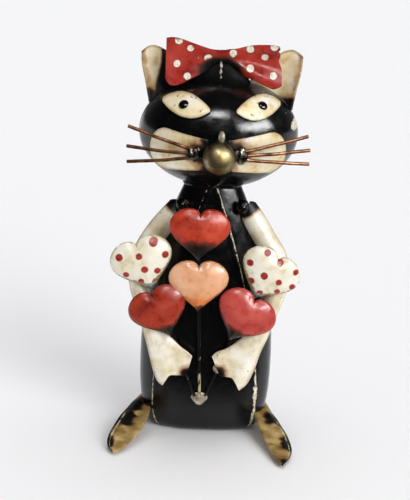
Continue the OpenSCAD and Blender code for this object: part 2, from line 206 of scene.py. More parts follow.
def make_table():
    bm = bmesh.new()
    bmesh.ops.create_grid(bm, x_segments=2, y_segments=2, size=FLOOR_SPAN / 2)
    mesh = bpy.data.meshes.new("table_top")
    bm.to_mesh(mesh)
    bm.free()
    table = bpy.data.objects.new("table_top", mesh)
    table.location.z = -0.0002
    scene.collection.objects.link(table)
    top = Finish("table_white")
    # Seen by mirror rays only, the table top in front of the cat is painted near black: a painted dark
    # reflection.
    mirrored = top.add("ShaderNodeLightPath").outputs["Is Glossy Ray"]
    parts = top.add("ShaderNodeSeparateXYZ")
    top.put(top.place, parts.inputs["Vector"])
    painted_dark_reflection = top.step(parts.outputs["Y"], *FLOOR_SCREEN, 0.97, 0.0)
    shade = top.sum("MULTIPLY", mirrored, painted_dark_reflection)
    tint = top.over(shade, "#f9f9fb", "#080808")
    mesh.materials.append(top.done(tint, 0.9, gloss=0.0))
    table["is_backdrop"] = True


def make_room():
    """Even white to a matt surface, but to a glossy one dark behind the camera and overhead."""
    world = bpy.data.worlds.new("white_room")
    scene.world = world
    world.use_nodes = True
    tree = world.node_tree
    tree.nodes.clear()
    path = tree.nodes.new("ShaderNodeLightPath")
    way = tree.nodes.new("ShaderNodeTexCoord")
    parts = tree.nodes.new("ShaderNodeSeparateXYZ")
    tree.links.new(way.outputs["Generated"], parts.inputs["Vector"])
    mirrored = None
    for axis, limits in SCREENS:
        screen = tree.nodes.new("ShaderNodeMapRange")
        set_range(screen, *limits)
        tree.links.new(parts.outputs[axis], screen.inputs["Value"])
        if mirrored is None:
            mirrored = screen.outputs["Result"]
        else:
            both = tree.nodes.new("ShaderNodeMath")
            both.operation = "MULTIPLY"
            tree.links.new(mirrored, both.inputs[0])
            tree.links.new(screen.outputs["Result"], both.inputs[1])
            mirrored = both.outputs["Value"]
    seen = tree.nodes.new("ShaderNodeMix")
    seen.inputs[2].default_value = ROOM_WHITE
    tree.links.new(path.outputs["Is Glossy Ray"], seen.inputs["Factor"])
    tree.links.new(mirrored, seen.inputs[3])
    room = tree.nodes.new("ShaderNodeBackground")
    tree.links.new(seen.outputs[0], room.inputs["Strength"])
    out = tree.nodes.new("ShaderNodeOutputWorld")
    tree.links.new(room.outputs["Background"], out.inputs["Surface"])


def soft_box(name, way, distance, width, height, watts):
    """A rectangular lamp that looks at the cat's middle, seen only as a highlight in paint and metal."""
    lamp = bpy.data.lights.new(name, "AREA")
    lamp.shape = "RECTANGLE"
    lamp.size = width
    lamp.size_y = height
    lamp.energy = watts
    holder = bpy.data.objects.new(name, lamp)
    middle = Vector((0, 0, 0.12))
    holder.location = middle + Vector(way).normalized() * distance
    holder.rotation_euler = (middle - holder.location).to_track_quat("-Z", "Y").to_euler()
    holder.visible_diffuse = False
    scene.collection.objects.link(holder)


def daylight(name, way, strength, spread):
    """Broad light from windows, for matt surfaces and shadows; spread is its width in degrees."""
    lamp = bpy.data.lights.new(name, "SUN")
    lamp.energy = strength
    lamp.angle = math.radians(spread)
    holder = bpy.data.objects.new(name, lamp)
    holder.rotation_euler = Vector(way).to_track_quat("Z", "Y").to_euler()
    holder.visible_glossy = False
    scene.collection.objects.link(holder)


CAMERA_AIM = Vector((-0.0025, 0, 0.0901))
CAMERA_DISTANCE = 0.8
CAMERA_RISE = math.radians(15)
CAMERA_ROLL = math.radians(2.4)


def make_camera():
    lens = bpy.data.cameras.new("camera")
    lens.sensor_fit = "VERTICAL"
    lens.sensor_height = 36
    lens.lens = 115.2
    camera = bpy.data.objects.new("camera", lens)
    back = Vector((0, -math.cos(CAMERA_RISE), math.sin(CAMERA_RISE)))
    turn = Matrix.Rotation(math.pi / 2 - CAMERA_RISE, 4, "X") @ Matrix.Rotation(CAMERA_ROLL, 4, "Z")
    camera.matrix_world = Matrix.Translation(CAMERA_AIM + back * CAMERA_DISTANCE) @ turn
    scene.collection.objects.link(camera)
    scene.camera = camera


make_table()
make_room()
daylight("daylight_above", (0.1, 0.25, 1.0), 1.2, 55)
daylight("daylight_right", (0.55, -0.75, 0.45), 1.75, 35)
soft_box("soft_box_right", (0.66, -0.6, 0.47), 1.1, 0.78, 0.32, 19)
soft_box("soft_box_front", (-0.05, -0.68, 0.85), 1.2, 0.35, 0.25, 6.5)
make_camera()

# ---------------------------------------------------------------- the body
# A front panel and two side shells of 1 mm sheet, bent over a form and welded along their edges,
# then primed cream and sprayed black. The cream shows again where the seams have been knocked.


def box_mm(node):
    """The low and high corners of a plain node's box, in mm."""
    low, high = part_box(node)
    return low / MM, high / MM


SIDES = (("left", -1), ("right", 1))
SHEET = 1.0
BELLY_HALF = box_mm("side_shell_right")[1].x
BODY_TOP = box_mm("side_shell_right")[1].z
NECK_HALF = 14.1
BELLY_Z = 36.0
BASE_IN = 5.0
BASE_ROLL = 5.0
PANEL_HALF = box_mm("front_panel")[1].x


def wobble(point, size, depth, seed=0.0):
    """Hand-made unevenness: a smooth noise of depth mm over blobs of size mm."""
    return depth * noise.noise(Vector(point) / size + Vector((seed, seed * 0.7, -seed)))


def mix(a, b, share):
    return a + (b - a) * share


def smooth(value, low, high):
    share = min(1.0, max(0.0, (value - low) / (high - low)))
    return share * share * (3 - 2 * share)


def along(points, share):
    """A smooth path through points, share from 0 to 1."""
    last = len(points) - 1
    spot = min(max(share, 0.0), 1.0) * last
    first = min(last - 1, int(spot))
    f = spot - first
    p1, p2 = Vector(points[first]), Vector(points[first + 1])
    p0, p3 = Vector(points[max(0, first - 1)]), Vector(points[min(last, first + 2)])
    return 0.5 * (2 * p1 + (p2 - p0) * f + (2 * p0 - 5 * p1 + 4 * p2 - p3) * f * f
                  + (3 * p1 - p0 - 3 * p2 + p3) * f * f * f)


def level(stations, at):
    """A value read off (place, value) pairs, straight between them."""
    for (a, low), (b, high) in zip(stations, stations[1:]):
        if at <= b:
            return mix(low, high, max(0.0, (at - a) / (b - a)))
    return stations[-1][1]


def sheet(columns, rows, shape):
    """A bent sheet: shape(u, v) gives each point in mm, u across and v up, from 0 to 1."""
    bm = bmesh.new()
    bmesh.ops.create_grid(bm, x_segments=columns, y_segments=rows, size=0.5)
    across = bm.verts.layers.float.new("across")
    up = bm.verts.layers.float.new("up")
    for vert in bm.verts:
        vert[across], vert[up] = vert.co.x + 0.5, vert.co.y + 0.5
        vert.co = Vector(shape(vert[across], vert[up]))
    return bm


def write_mark(bm, name, rule):
    """A value at each point, for the finish to read: rule(point, u, v), the point in mm."""
    layer = bm.verts.layers.float.new(name)
    across = bm.verts.layers.float.get("across")
    up = bm.verts.layers.float.get("up")
    for vert in bm.verts:
        u, v = (vert[across], vert[up]) if across else (0.0, 0.0)
        vert[layer] = rule(vert.co, u, v)


def piece(name, bm, finish, slot, wall=None, edge=None, node=None, turned=False):
    """Makes the object from a mesh in mm, rides it on the cat and hides the plain node it stands for."""
    if turned:
        bmesh.ops.reverse_faces(bm, faces=bm.faces)
    bmesh.ops.scale(bm, vec=(MM, MM, MM), verts=bm.verts)
    for face in bm.faces:
        face.smooth = True
    mesh = bpy.data.meshes.new(name)
    bm.to_mesh(mesh)
    bm.free()
    mesh.materials.append(finish)
    thing = bpy.data.objects.new(name + "_skin", mesh)
    scene.collection.objects.link(thing)
    if wall:
        solidify = thing.modifiers.new("wall", "SOLIDIFY")
        solidify.thickness = wall * MM
        solidify.offset = -1
    if edge:
        bevel = thing.modifiers.new("edge", "BEVEL")
        bevel.width = edge * MM
        bevel.segments = 2
        bevel.limit_method = "ANGLE"
        bevel.angle_limit = math.radians(50)
    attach(thing, "root")
    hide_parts(node or name)


def rolled_under(z):
    """How far the quarter round at the bottom edge brings the skin in at a height."""
    return 0.8 * BASE_ROLL * (1 - math.sqrt(1 - (max(0.0, BASE_ROLL - z) / BASE_ROLL) ** 2))


def body_half_width(z):
    if z < BELLY_Z:
        return BELLY_HALF - BASE_IN * ((BELLY_Z - z) / BELLY_Z) ** 3 - rolled_under(z)
    rise = (z - BELLY_Z) / (BODY_TOP - BELLY_Z)
    return BELLY_HALF - (BELLY_HALF - NECK_HALF) * rise ** 2.1


def body_half_depth(z):
    return 0.56 * (body_half_width(z) + rolled_under(z)) + 1.5 - rolled_under(z)


def body_boxiness(z):
    return 2.6 - 0.4 * z / BODY_TOP


def panel_half_width(z):
    narrow = max(0.0, (z - 20) / (BODY_TOP - 20)) ** 1.7
    return PANEL_HALF * (1 - 0.9 * narrow) - 3 * max(0.0, (20 - z) / 20) ** 3 - 0.6 * rolled_under(z)


def body_front(x, z):
    power = body_boxiness(z)
    return -body_half_depth(z) * (1 - (abs(x) / body_half_width(z)) ** power) ** (1 / power)


def body_skin(z, turn):
    power = 2 / body_boxiness(z)
    c, s = math.cos(turn), math.sin(turn)
    return Vector((body_half_width(z) * math.copysign(abs(c) ** power, c),
                   body_half_depth(z) * math.copysign(abs(s) ** power, s), z))


def turn_at(x, z):
    return math.acos((x / body_half_width(z)) ** (body_boxiness(z) / 2))


PRIMER = [(0.3, "#8d8064"), (0.45, "#d9cfb4"), (0.7, "#f3ecda")]


def black_enamel():
    """Sprayed black over cream primer, satin, with dust in it; bare where the mark is above 0 mm."""
    paint = Finish("black_enamel")
    ragged = paint.sum("ADD", paint.cloud(3.2, 4), paint.cloud(0.8, 2, shift=0.3))
    bare = paint.sum("ADD", paint.mark("bare"), paint.step(ragged, 0.7, 1.3, -0.5, 0.5))
    knocked = paint.step(bare, -0.05, 0.1)
    black = paint.over(paint.cloud(14, 3), "#060607", "#0c0d0f")
    black = paint.over(paint.specks(1.1, 0.0, 0.05, 0.14, (9, 0.0, 0.42, 0.6)), black, "#8f8873", 0.4)
    primer = paint.ramp(paint.cloud(2.2, 4, shift=0.1), PRIMER)
    black = paint.over(paint.step(bare, -0.3, -0.05), black, "#2b2419", 0.8)
    tint = paint.over(knocked, black, primer)
    peel = paint.relief(paint.cloud(0.5, 3), 0.04)
    peel = paint.relief(paint.cloud(5, 2, shift=0.6), 0.1, peel)
    peel = paint.relief(knocked, -0.09, peel)
    satin = paint.step(paint.cloud(5, 4), 0.3, 0.75, 0.14, 0.28)
    rough = paint.sum("ADD", satin, paint.sum("MULTIPLY", knocked, 0.35))
    return paint.done(tint, rough, peel, gloss=0.45)


black = black_enamel()
# how wide the primer shows along each front seam, in mm, at heights in mm
RIGHT_SEAM_WEAR = [(0, 0.2), (3, 1.1), (7, 1.2), (14, 0.9), (20, 1.4), (27, 1.1), (32, 0.5), (40, -0.6),
                   (66, -0.4), (72, 0.2), (96, 0.5), (124, 0.5)]
LEFT_SEAM_WEAR = [(0, 0.3), (5, 0.7), (9, 0.3), (20, 0.2), (34, 0.3), (40, -0.5), (44, -1.2), (98, -1.2),
                  (104, -0.1), (124, -0.1)]
PANEL_PROUD = 0.35


def front_panel_point(u, v):
    z = BODY_TOP * v
    x = mix(-1, 1, u) * panel_half_width(z)
    y = body_front(x, z)
    lip = PANEL_PROUD * smooth(abs(x), panel_half_width(z) - 3.5, panel_half_width(z) - 0.8)
    return (x, y - lip + wobble((x, 0, z), 17, 0.25), z)


def panel_bare(point, u, v):
    wear = RIGHT_SEAM_WEAR if u > 0.5 else LEFT_SEAM_WEAR
    inset = (1 - abs(2 * u - 1)) * panel_half_width(point.z)
    return max(-4.0, level(wear, point.z) - inset)


front_panel = sheet(110, 190, front_panel_point)
write_mark(front_panel, "bare", panel_bare)
piece("front_panel", front_panel, black, "black_paint", wall=SHEET, edge=0.3)


def side_shell(side):
    def point(u, v):
        z = BODY_TOP * v
        turn = mix(-turn_at(panel_half_width(z), z), turn_at(0.05, z), u)
        p = body_skin(z, turn)
        seam = smooth(u, 0, 0.04) * (1 - smooth(u, 0.96, 1.0))
        return (side * p.x, p.y + wobble(p * side, 19, 0.3, 4.0) * seam, z)

    def bare(at, u, v):
        wear = RIGHT_SEAM_WEAR if side > 0 else LEFT_SEAM_WEAR
        return max(-4.0, level(wear, at.z) - 0.8 - u * 60)

    shell = sheet(96, 110, point)
    write_mark(shell, "bare", bare)
    return shell


for name, side in SIDES:
    piece(f"side_shell_{name}", side_shell(side), black, "black_paint", wall=SHEET, edge=0.2, turned=side < 0)


def soften_level_edges(bm, width):
    """Takes the sharpness off every edge that runs level, as a file would."""
    level_edges = [e for e in bm.edges if abs(e.verts[0].co.z - e.verts[1].co.z) < 1e-4]
    bmesh.ops.bevel(bm, geom=level_edges, offset=width, segments=2, profile=0.5, affect="EDGES", material=-1)


def base_plate():
    """A flat bottom, cut to the foot of the shells and tacked in from below."""
    bm = bmesh.new()
    bmesh.ops.create_circle(bm, cap_ends=True, segments=96, radius=1)
    for vert in bm.verts:
        p = body_skin(0, math.atan2(vert.co.y, vert.co.x))
        vert.co = Vector((p.x * 0.958, p.y * 0.93, 0))
    grown = bmesh.ops.extrude_face_region(bm, geom=bm.faces[:])
    tops = [g for g in grown["geom"] if isinstance(g, bmesh.types.BMVert)]
    bmesh.ops.translate(bm, vec=(0, 0, SHEET), verts=tops)
    bmesh.ops.recalc_face_normals(bm, faces=bm.faces)
    soften_level_edges(bm, 0.25)
    write_mark(bm, "bare", lambda at, u, v: -4.0)
    return bm


piece("base_plate", base_plate(), black, "black_paint")

# ---------------------------------------------------------------- the head
# Two pressed half eggs, front and back, butted together over the crown and welded on top of the neck.
# The bead at the neck is rough and black, as the scale from the torch has been painted over.

head_parts = box_mm("head_front") + box_mm("head_back")
HEAD_LOW = Vector([min(c[i] for c in head_parts) for i in range(3)])
HEAD_HIGH = Vector([max(c[i] for c in head_parts) for i in range(3)])
HEAD = (HEAD_LOW + HEAD_HIGH) / 2
HEAD_HALF = (HEAD_HIGH - HEAD_LOW) / 2


def head_front_y(x, z, proud):
    """Where the front of the head is, x and z from its middle, this many mm proud of the sheet."""
    a, b, c = (half + proud for half in HEAD_HALF)
    return -b * math.sqrt(max(0.0, 1 - (x / a) ** 2 - (z / c) ** 2))


def head_bare(point, u, v):
    """Bare spots on the head: a chip at the right temple, a nick at the chin and flakes round the eyes."""
    spots = [((38.4, 157.0), 2.0), ((33.5, 163.0), -0.2), ((22.3, 172.3), -0.2), ((-1.5, 125.6), 0.3)]
    if point.y > 0:
        return -4.0
    return max(-4.0, max(size + 0.3 - math.hypot(point.x - x, point.z - z) for (x, z), size in spots))


def globe(around, along_it):
    """A ball of radius 1 whose poles look to the front and the back."""
    bm = bmesh.new()
    bmesh.ops.create_uvsphere(bm, u_segments=around, v_segments=along_it, radius=1)
    bmesh.ops.rotate(bm, cent=(0, 0, 0), matrix=Matrix.Rotation(math.pi / 2, 3, "X"), verts=bm.verts)
    return bm


def head_shell(side):
    bm = globe(120, 64)
    everything = bm.verts[:] + bm.edges[:] + bm.faces[:]
    bmesh.ops.bisect_plane(bm, geom=everything, plane_co=(0, 0, 0), plane_no=(0, side, 0), clear_inner=True)
    for vert in bm.verts:
        way = vert.co.normalized()
        dent = wobble(way, 0.35, 0.35, 2.0) * smooth(abs(way.y), 0.02, 0.15)
        vert.co = HEAD + way * HEAD_HALF + way * (dent - 0.12)
    write_mark(bm, "bare", head_bare)
    return bm


piece("head_front", head_shell(-1), black, "black_paint", wall=SHEET, edge=0.2)
piece("head_back", head_shell(1), black, "black_paint", wall=SHEET, edge=0.2)


def scorched_weld(name, soot=0.0):
    """Weld metal under burnt black paint, with bright ridges; soot dulls the paint."""
    metal = Finish(name)
    ridge = metal.cloud(1.8, 3)
    bright = metal.step(metal.sum("ADD", ridge, metal.mark("bare")), 0.66, 0.8)
    tint = metal.over(bright, "#050505", "#a9a494")
    skin = metal.relief(ridge, 0.12)
    rough = metal.step(metal.cloud(2.5, 3), 0.35, 0.7, 0.1 + soot / 2, 0.25 + soot / 2)
    return metal.done(tint, rough, skin, metal=metal.sum("MULTIPLY", bright, 0.7), gloss=0.5 * (1 - soot))


burnt_weld = scorched_weld("scorched_weld")


def close_spin(bm, axis, steps):
    """Spins the outline in the mesh right round an axis through its origin, into a closed skin."""
    outline = bm.verts[:] + bm.edges[:]
    bmesh.ops.spin(bm, geom=outline, cent=(0, 0, 0), axis=axis, dvec=(0, 0, 0), angle=math.tau, steps=steps,
                   use_merge=True)
    bmesh.ops.remove_doubles(bm, verts=bm.verts, dist=0.001)
    bmesh.ops.recalc_face_normals(bm, faces=bm.faces)


def neck_bead():
    """A thick bead run round the neck, in overlapping drops."""
    low, high = box_mm("neck_weld")
    bm = bmesh.new()
    middle = (low + high) / 2
    reach = (high.x - low.x) / 2 - 1.4
    flat = (high.y - low.y) / (high.x - low.x)
    bmesh.ops.create_circle(bm, segments=16, radius=1.5)
    bmesh.ops.rotate(bm, cent=(0, 0, 0), matrix=Matrix.Rotation(math.pi / 2, 3, "X"), verts=bm.verts)
    bmesh.ops.translate(bm, vec=(reach, 0, 0), verts=bm.verts)
    close_spin(bm, (0, 0, 1), 160)
    for vert in bm.verts:
        turn = math.atan2(vert.co.y, vert.co.x)
        core = Vector((reach * math.cos(turn), reach * math.sin(turn), 0))
        swell = 0.85 + 0.15 * abs(math.sin(turn * 17)) + wobble(vert.co, 2.5, 0.12)
        p = core + (vert.co - core) * swell
        vert.co = Vector((p.x, p.y * flat, p.z)) + middle
    write_mark(bm, "bare", lambda at, u, v: 0.0)
    return bm


piece("neck_weld", neck_bead(), burnt_weld, "black_weld")

# ---------------------------------------------------------------- ears
# Each ear is one cupped leaf of sheet, sprayed cream and stood on the crown. The torch that welded it
# has browned the paint in a band and left it black at the foot. The left ear's inner half, by the bow,
# is painted near black as shadow.

PLATE = 0.8
STRIP = 1.2


def cream_paint(name, ground, fray=0.25, clean=0.7):
    """Brushed cream over black: browned towards welds, dirty at its edges, with specks and scratches.

    The marks are burn, 0 to 1 towards a weld, and edge, mm from the rim. Fray is how ragged the rim is, and
    clean the level, from 0 to 1, above which blots show."""
    paint = Finish(name)
    cloudy = paint.cloud(9, 5)
    cream = paint.ramp(cloudy, ground)
    streak = paint.step(paint.cloud(5, 4, stretch=(1, 1, 0.45), shift=0.2), 0.56, 0.75)
    cream = paint.over(streak, cream, "#c39a5c", 0.4)
    edge = paint.frayed(paint.mark("edge"), paint.cloud(2.4, 4, shift=0.5), fray)
    cream = paint.over(paint.step(edge, 0.05, 1.6, 0.5, 0.0), cream, "#8f6a35")
    cream = paint.over(paint.step(edge, -0.05, 0.2, 0.95, 0.0), cream, "#20170d")
    cream = paint.over(paint.specks(1.7, 0.05, 0.06, 0.13, (6, 0.8, 0.4, 0.5)), cream, "#3d2a14", 0.85)
    blots = paint.step(paint.cloud(2.6, 3, shift=0.13), clean, clean + 0.06)
    cream = paint.over(blots, cream, "#6b4d26", 0.7)
    heat = paint.frayed(paint.mark("burn"), paint.cloud(5, 5, shift=0.4), 0.13, 0.25, 0.75)
    tan = paint.over(paint.step(heat, 0.08, 0.42, 0.0, 0.75), cream, "#a9793c")
    brown = paint.over(paint.step(heat, 0.38, 0.62), tan, "#56300f")
    burnt = paint.over(paint.step(heat, 0.56, 0.76), brown, "#0b0a09")
    skin = paint.relief(paint.step(edge, -0.15, 0.35), 0.08, paint.beaten(1.0, 0.03, 7, 0.2))
    rough = paint.step(paint.cloud(4, 3), 0.3, 0.7, 0.26, 0.46)
    return paint.done(burnt, rough, skin, gloss=0.45)


EAR_CREAM = [(0.3, "#d2b57e"), (0.42, "#eed9ab"), (0.55, "#f9edcf"), (0.68, "#fffcf3")]
ear_paint = cream_paint("ear_paint", EAR_CREAM)
EAR_OUTER = {-1: [(33.6, 163), (35.6, 173), (37.7, 182), (38.2, 188.4)],
             1: [(34.6, 163), (36.4, 173), (38.2, 182), (38.6, 189)]}
EAR_INNER = [(14, 175.5), (16, 180), (20, 184.5), (25, 188.2)]


def ear(side):
    def point(u, v):
        a = along([(x, z, 0) for x, z in EAR_INNER], v)
        b = along([(x, z, 0) for x, z in EAR_OUTER[side]], v)
        q = a.lerp(b, u)
        tip = 3 * v ** 4 * math.sin(math.pi * u ** 1.5)
        cup = 5 * (1 - 0.5 * v) * math.sin(math.pi * u ** 1.4)
        crown = HEAD.z + HEAD_HALF.z * math.sqrt(max(0.0, 1 - (q.x / HEAD_HALF.x) ** 2)) - 0.4
        z = crown if v == 0 else max(crown, q.y + tip)
        return (HEAD.x + side * q.x, cup - 2.2 + wobble((q.x, 0, z), 9, 0.3, side), z)

    bm = sheet(48, 48, point)
    write_mark(bm, "edge", lambda at, u, v: min(u * 13, (1 - u) * 13, (1 - v) * 20) + 0.25)

    def burn(at, u, v):
        tip = 0.2 * smooth(v, 0.9, 1.0)
        if side > 0:
            return 1 - smooth(at.z, 163, 172) + 0.35 * smooth(u, 0.75, 1.0) + tip
        # on the left ear the inner half, next to the bow, is painted near black as shadow, through the burn
        # mark
        fold_shadow = 0.95 * smooth(1.03 - 0.7 * v - u, -0.06, 0.14)
        return max(1 - smooth(at.z, 163, 175), fold_shadow) + 0.3 * smooth(u, 0.82, 0.95) + tip

    write_mark(bm, "burn", burn)
    return bm


for name, side in SIDES:
    piece(f"ear_{name}", ear(side), ear_paint, "cream_paint", wall=STRIP, edge=0.35, turned=side < 0)

# ---------------------------------------------------------------- eyes and cheeks
# Thin cream plates, dished to lie on the head and tacked at their edges. Each eye has a black bead
# for its pupil. The cheeks are paddles that run in under the nose, where the torch has burnt them.

CLEAR = 0.1


def node_middle(name):
    low, high = box_mm(name)
    return (low + high) / 2


def face_plate(x0, x1, low, high, columns, rows, crown=0.25):
    """A plate on the head between low(u) and high(u), x and z in mm from the head's middle."""
    def point(u, v):
        x, z = mix(x0, x1, u), mix(low(u), high(u), v)
        swell = crown * (1 - (2 * v - 1) ** 2) + wobble((x, 0, z), 5, 0.12, 6.0)
        return (HEAD.x + x, head_front_y(x, z, CLEAR + PLATE + swell), HEAD.z + z)
    return sheet(columns, rows, point)


CREAM = [(0.3, "#d5b87c"), (0.42, "#ecd9a8"), (0.55, "#f5e9c6"), (0.7, "#fbf6e8")]
EYE_Z = 15.8
face_cream = cream_paint("face_cream", CREAM, 0.08)
eye_cream = cream_paint("eye_cream", CREAM, 0.08, 0.62)


def almond(u):
    return 0.04 + 0.96 * math.sin(math.pi * mix(0.02, 0.98, u)) ** 0.8


def eye(x0, x1, tilt):
    def lid(u, reach):
        return mix(EYE_Z + tilt, EYE_Z - tilt, u) + reach * almond(u)
    bm = face_plate(x0, x1, lambda u: lid(u, -5), lambda u: lid(u, 5.8), 90, 44)
    write_mark(bm, "edge", lambda at, u, v: min(v, 1 - v) * 10.8 * almond(u) - 0.08)
    write_mark(bm, "burn", lambda at, u, v: 0.12 * smooth(abs(u - 0.5), 0.3, 0.5))
    return bm


piece("eye_left", eye(-27.6, -4.6, 1), eye_cream, "cream_paint", wall=PLATE, edge=0.2)
piece("eye_right", eye(8.1, 29.1, -1), eye_cream, "cream_paint", wall=PLATE, edge=0.2)


def gloss_black():
    paint = Finish("gloss_black")
    tint = paint.over(paint.cloud(1.2, 3), "#060606", "#121010")
    return paint.done(tint, 0.16, paint.relief(paint.cloud(1.4, 2), 0.03), gloss=0.55)


bead_black = gloss_black()


def pupil(name):
    """A domed rivet head, flat at its back, pressed through the eye plate."""
    low, high = box_mm(name)
    bm = bmesh.new()
    radius = (high.x - low.x) / 2
    bmesh.ops.create_uvsphere(bm, u_segments=40, v_segments=24, radius=radius)
    out = Vector(((low.x + high.x) / 2 - HEAD.x, 0, (low.z + high.z) / 2 - HEAD.z))
    out.y = head_front_y(out.x, out.z, 0)
    normal = Vector([out[i] / HEAD_HALF[i] ** 2 for i in range(3)]).normalized()
    turn = Vector((0, 0, 1)).rotation_difference(normal).to_matrix()
    for vert in bm.verts:
        vert.co.z = vert.co.z * (0.52 if vert.co.z > 0 else 0.16)
    bmesh.ops.rotate(bm, cent=(0, 0, 0), matrix=turn, verts=bm.verts)
    seat = HEAD + Vector((out.x, head_front_y(out.x, out.z, CLEAR + PLATE + 0.3), out.z))
    bmesh.ops.translate(bm, vec=seat, verts=bm.verts)
    return bm


for node in ("pupil_left", "pupil_right"):
    piece(node, pupil(node), bead_black, "black_paint")
CHEEK_IN = 4.8
CHEEK_OUT = 32.8


def paddle(u):
    return 1.0 if u < 0.68 else math.sqrt(max(0.003, 1 - ((u - 0.68) / 0.32) ** 2))


def cheek(side):
    def low(u):
        return -6 + 0.3 * u - mix(8, 11.4, u) * paddle(u)

    def high(u):
        return -6 + 0.3 * u + mix(7.5, 12.4, u) * paddle(u)

    bm = face_plate(side * CHEEK_IN, side * CHEEK_OUT, low, high, 100, 70, crown=0.5)

    def edge(at, u, v):
        return min(v * 20 * paddle(u), (1 - v) * 20 * paddle(u), (1 - u) * 40) - 0.02

    write_mark(bm, "edge", edge)
    blob = node_middle("whisker_weld_left" if side < 0 else "whisker_weld_right")

    def burn(at, u, v):
        weld = 0.75 * math.exp(-((at - blob).xz.length / 4.5) ** 2)
        under_nose = (0.95 if side < 0 else 0.8) * math.exp(-u / 0.15)
        return under_nose + weld + 0.12 * smooth(v, 0.6, 1.0) * (1 - u)

    write_mark(bm, "burn", burn)
    return bm


for name, side in SIDES:
    piece(f"cheek_{name}", cheek(side), face_cream, "cream_paint", wall=PLATE, edge=0.25, turned=side < 0)

# ---------------------------------------------------------------- nose
# A brass ball, browned, brazed to the middle of the face and painted dark towards its sides as shade,
# its front left bright. The braze has run out in a collar and left a cream flake above the ball.


def old_brass():
    metal = Finish("old_brass")
    worn = metal.frayed(metal.cloud(6.5, 4), metal.cloud(1.2, 3, shift=0.2), 0.05)
    tint = metal.ramp(worn, [(0.3, "#75643f"), (0.45, "#94835b"), (0.56, "#ab9a72"), (0.7, "#c5b894")])
    # the sides of the ball, facing away from the front, are painted near black as shade
    front_facing_share = metal.frayed(metal.mark("crown"), metal.cloud(3, 4, shift=0.5), 0.12)
    tint = metal.over(metal.step(front_facing_share, 0.15, 0.8, 0.88, 0.0), tint, "#1d150b")
    rough = metal.step(worn, 0.35, 0.65, 0.52, 0.42)
    skin = metal.relief(metal.cloud(0.9, 3), 0.02)
    skin = metal.relief(metal.cloud(4, 3, shift=0.4), 0.15, skin)
    return metal.done(tint, rough, skin, metal=1.0)


def lump(radii, middle, seed, rough=0.12, size=0.6, rings=4):
    """A blob of weld metal: a ball pulled out of round, with ripples of rough times its size."""
    bm = bmesh.new()
    bmesh.ops.create_icosphere(bm, subdivisions=rings, radius=1)
    for vert in bm.verts:
        way = vert.co.normalized()
        swell = 1 + wobble(way, size, rough * 1.4, seed) + wobble(way, size / 2.4, rough * 0.35, seed + 3)
        vert.co = Vector([way[i] * radii[i] * swell for i in range(3)]) + Vector(middle)
    return bm


nose_low, nose_high = box_mm("nose_ball")
nose_r = (nose_high.x - nose_low.x) / 2
nose_at = node_middle("nose_ball")
ball = lump((nose_r,) * 3, nose_at, 5.0, rough=0.012, size=0.9, rings=5)
# crown here is how far a point faces the front, which the finish uses for its painted shade
write_mark(ball, "crown", lambda at, u, v: (nose_at.y - at.y) / nose_r)
piece("nose_ball", ball, old_brass(), "brass_ball")


def braze(name, size, stops):
    """Braze with flux on it, its colours from the hollows of the puddle to the crowns."""
    metal = Finish(name)
    patch = metal.cloud(size, 4)
    tint = metal.ramp(patch, stops)
    skin = metal.relief(metal.cloud(1.4, 2, shift=0.3), 0.1)
    rough = metal.step(patch, 0.4, 0.65, 0.2, 0.36)
    return metal.done(tint, rough, skin, metal=metal.step(patch, 0.4, 0.6, 0.3, 0.7))


DARK_BRAZE = [(0.4, "#0b0a09"), (0.5, "#2e281f"), (0.6, "#7d776b"), (0.7, "#cbc7bd")]
PRIMED_WELD = [(0.3, "#1f1c16"), (0.4, "#8a8069"), (0.5, "#c9c0a6"), (0.66, "#e9e4d4")]
braze_metal = braze("braze", 2.2, DARK_BRAZE)
pale_weld = braze("pale_weld", 4.5, PRIMED_WELD)


def nose_collar():
    """The collar of braze in the corner behind the ball."""
    low, high = box_mm("nose_weld")
    middle = (low + high) / 2
    reach = (high.x - low.x) / 2 - 1.3
    bm = bmesh.new()
    bmesh.ops.create_circle(bm, segments=14, radius=1.25)
    bmesh.ops.translate(bm, vec=(reach, 0, 0), verts=bm.verts)
    close_spin(bm, (0, 1, 0), 90)
    for vert in bm.verts:
        vert.co += vert.co.normalized() * wobble(vert.co, 2.2, 0.5, 3.0) + middle
    return bm


piece("nose_weld", nose_collar(), braze_metal, "weld_metal")
flake = lump((1.5, 0.8, 2.8), node_middle("nose_weld") + Vector((0.9, -2.4, nose_r + 1.6)), 8.0)
piece("nose_flake", flake, pale_weld, "weld_metal", node="nose_weld")

# ---------------------------------------------------------------- whiskers
# Six lengths of copper wire cut square at their ends, three a side, their roots drowned in one blob
# of braze beside the nose.


def copper():
    metal = Finish("copper")
    patch = metal.cloud(4, 5)
    tint = metal.ramp(patch, [(0.3, "#3b2417"), (0.45, "#74492f"), (0.6, "#95694a"), (0.75, "#c7a283")])
    skin = metal.relief(metal.cloud(0.8, 3, shift=0.2), 0.06)
    return metal.done(tint, metal.step(patch, 0.3, 0.7, 0.5, 0.32), skin, metal=0.8)


copper_finish = copper()


ROD_RINGS = 40


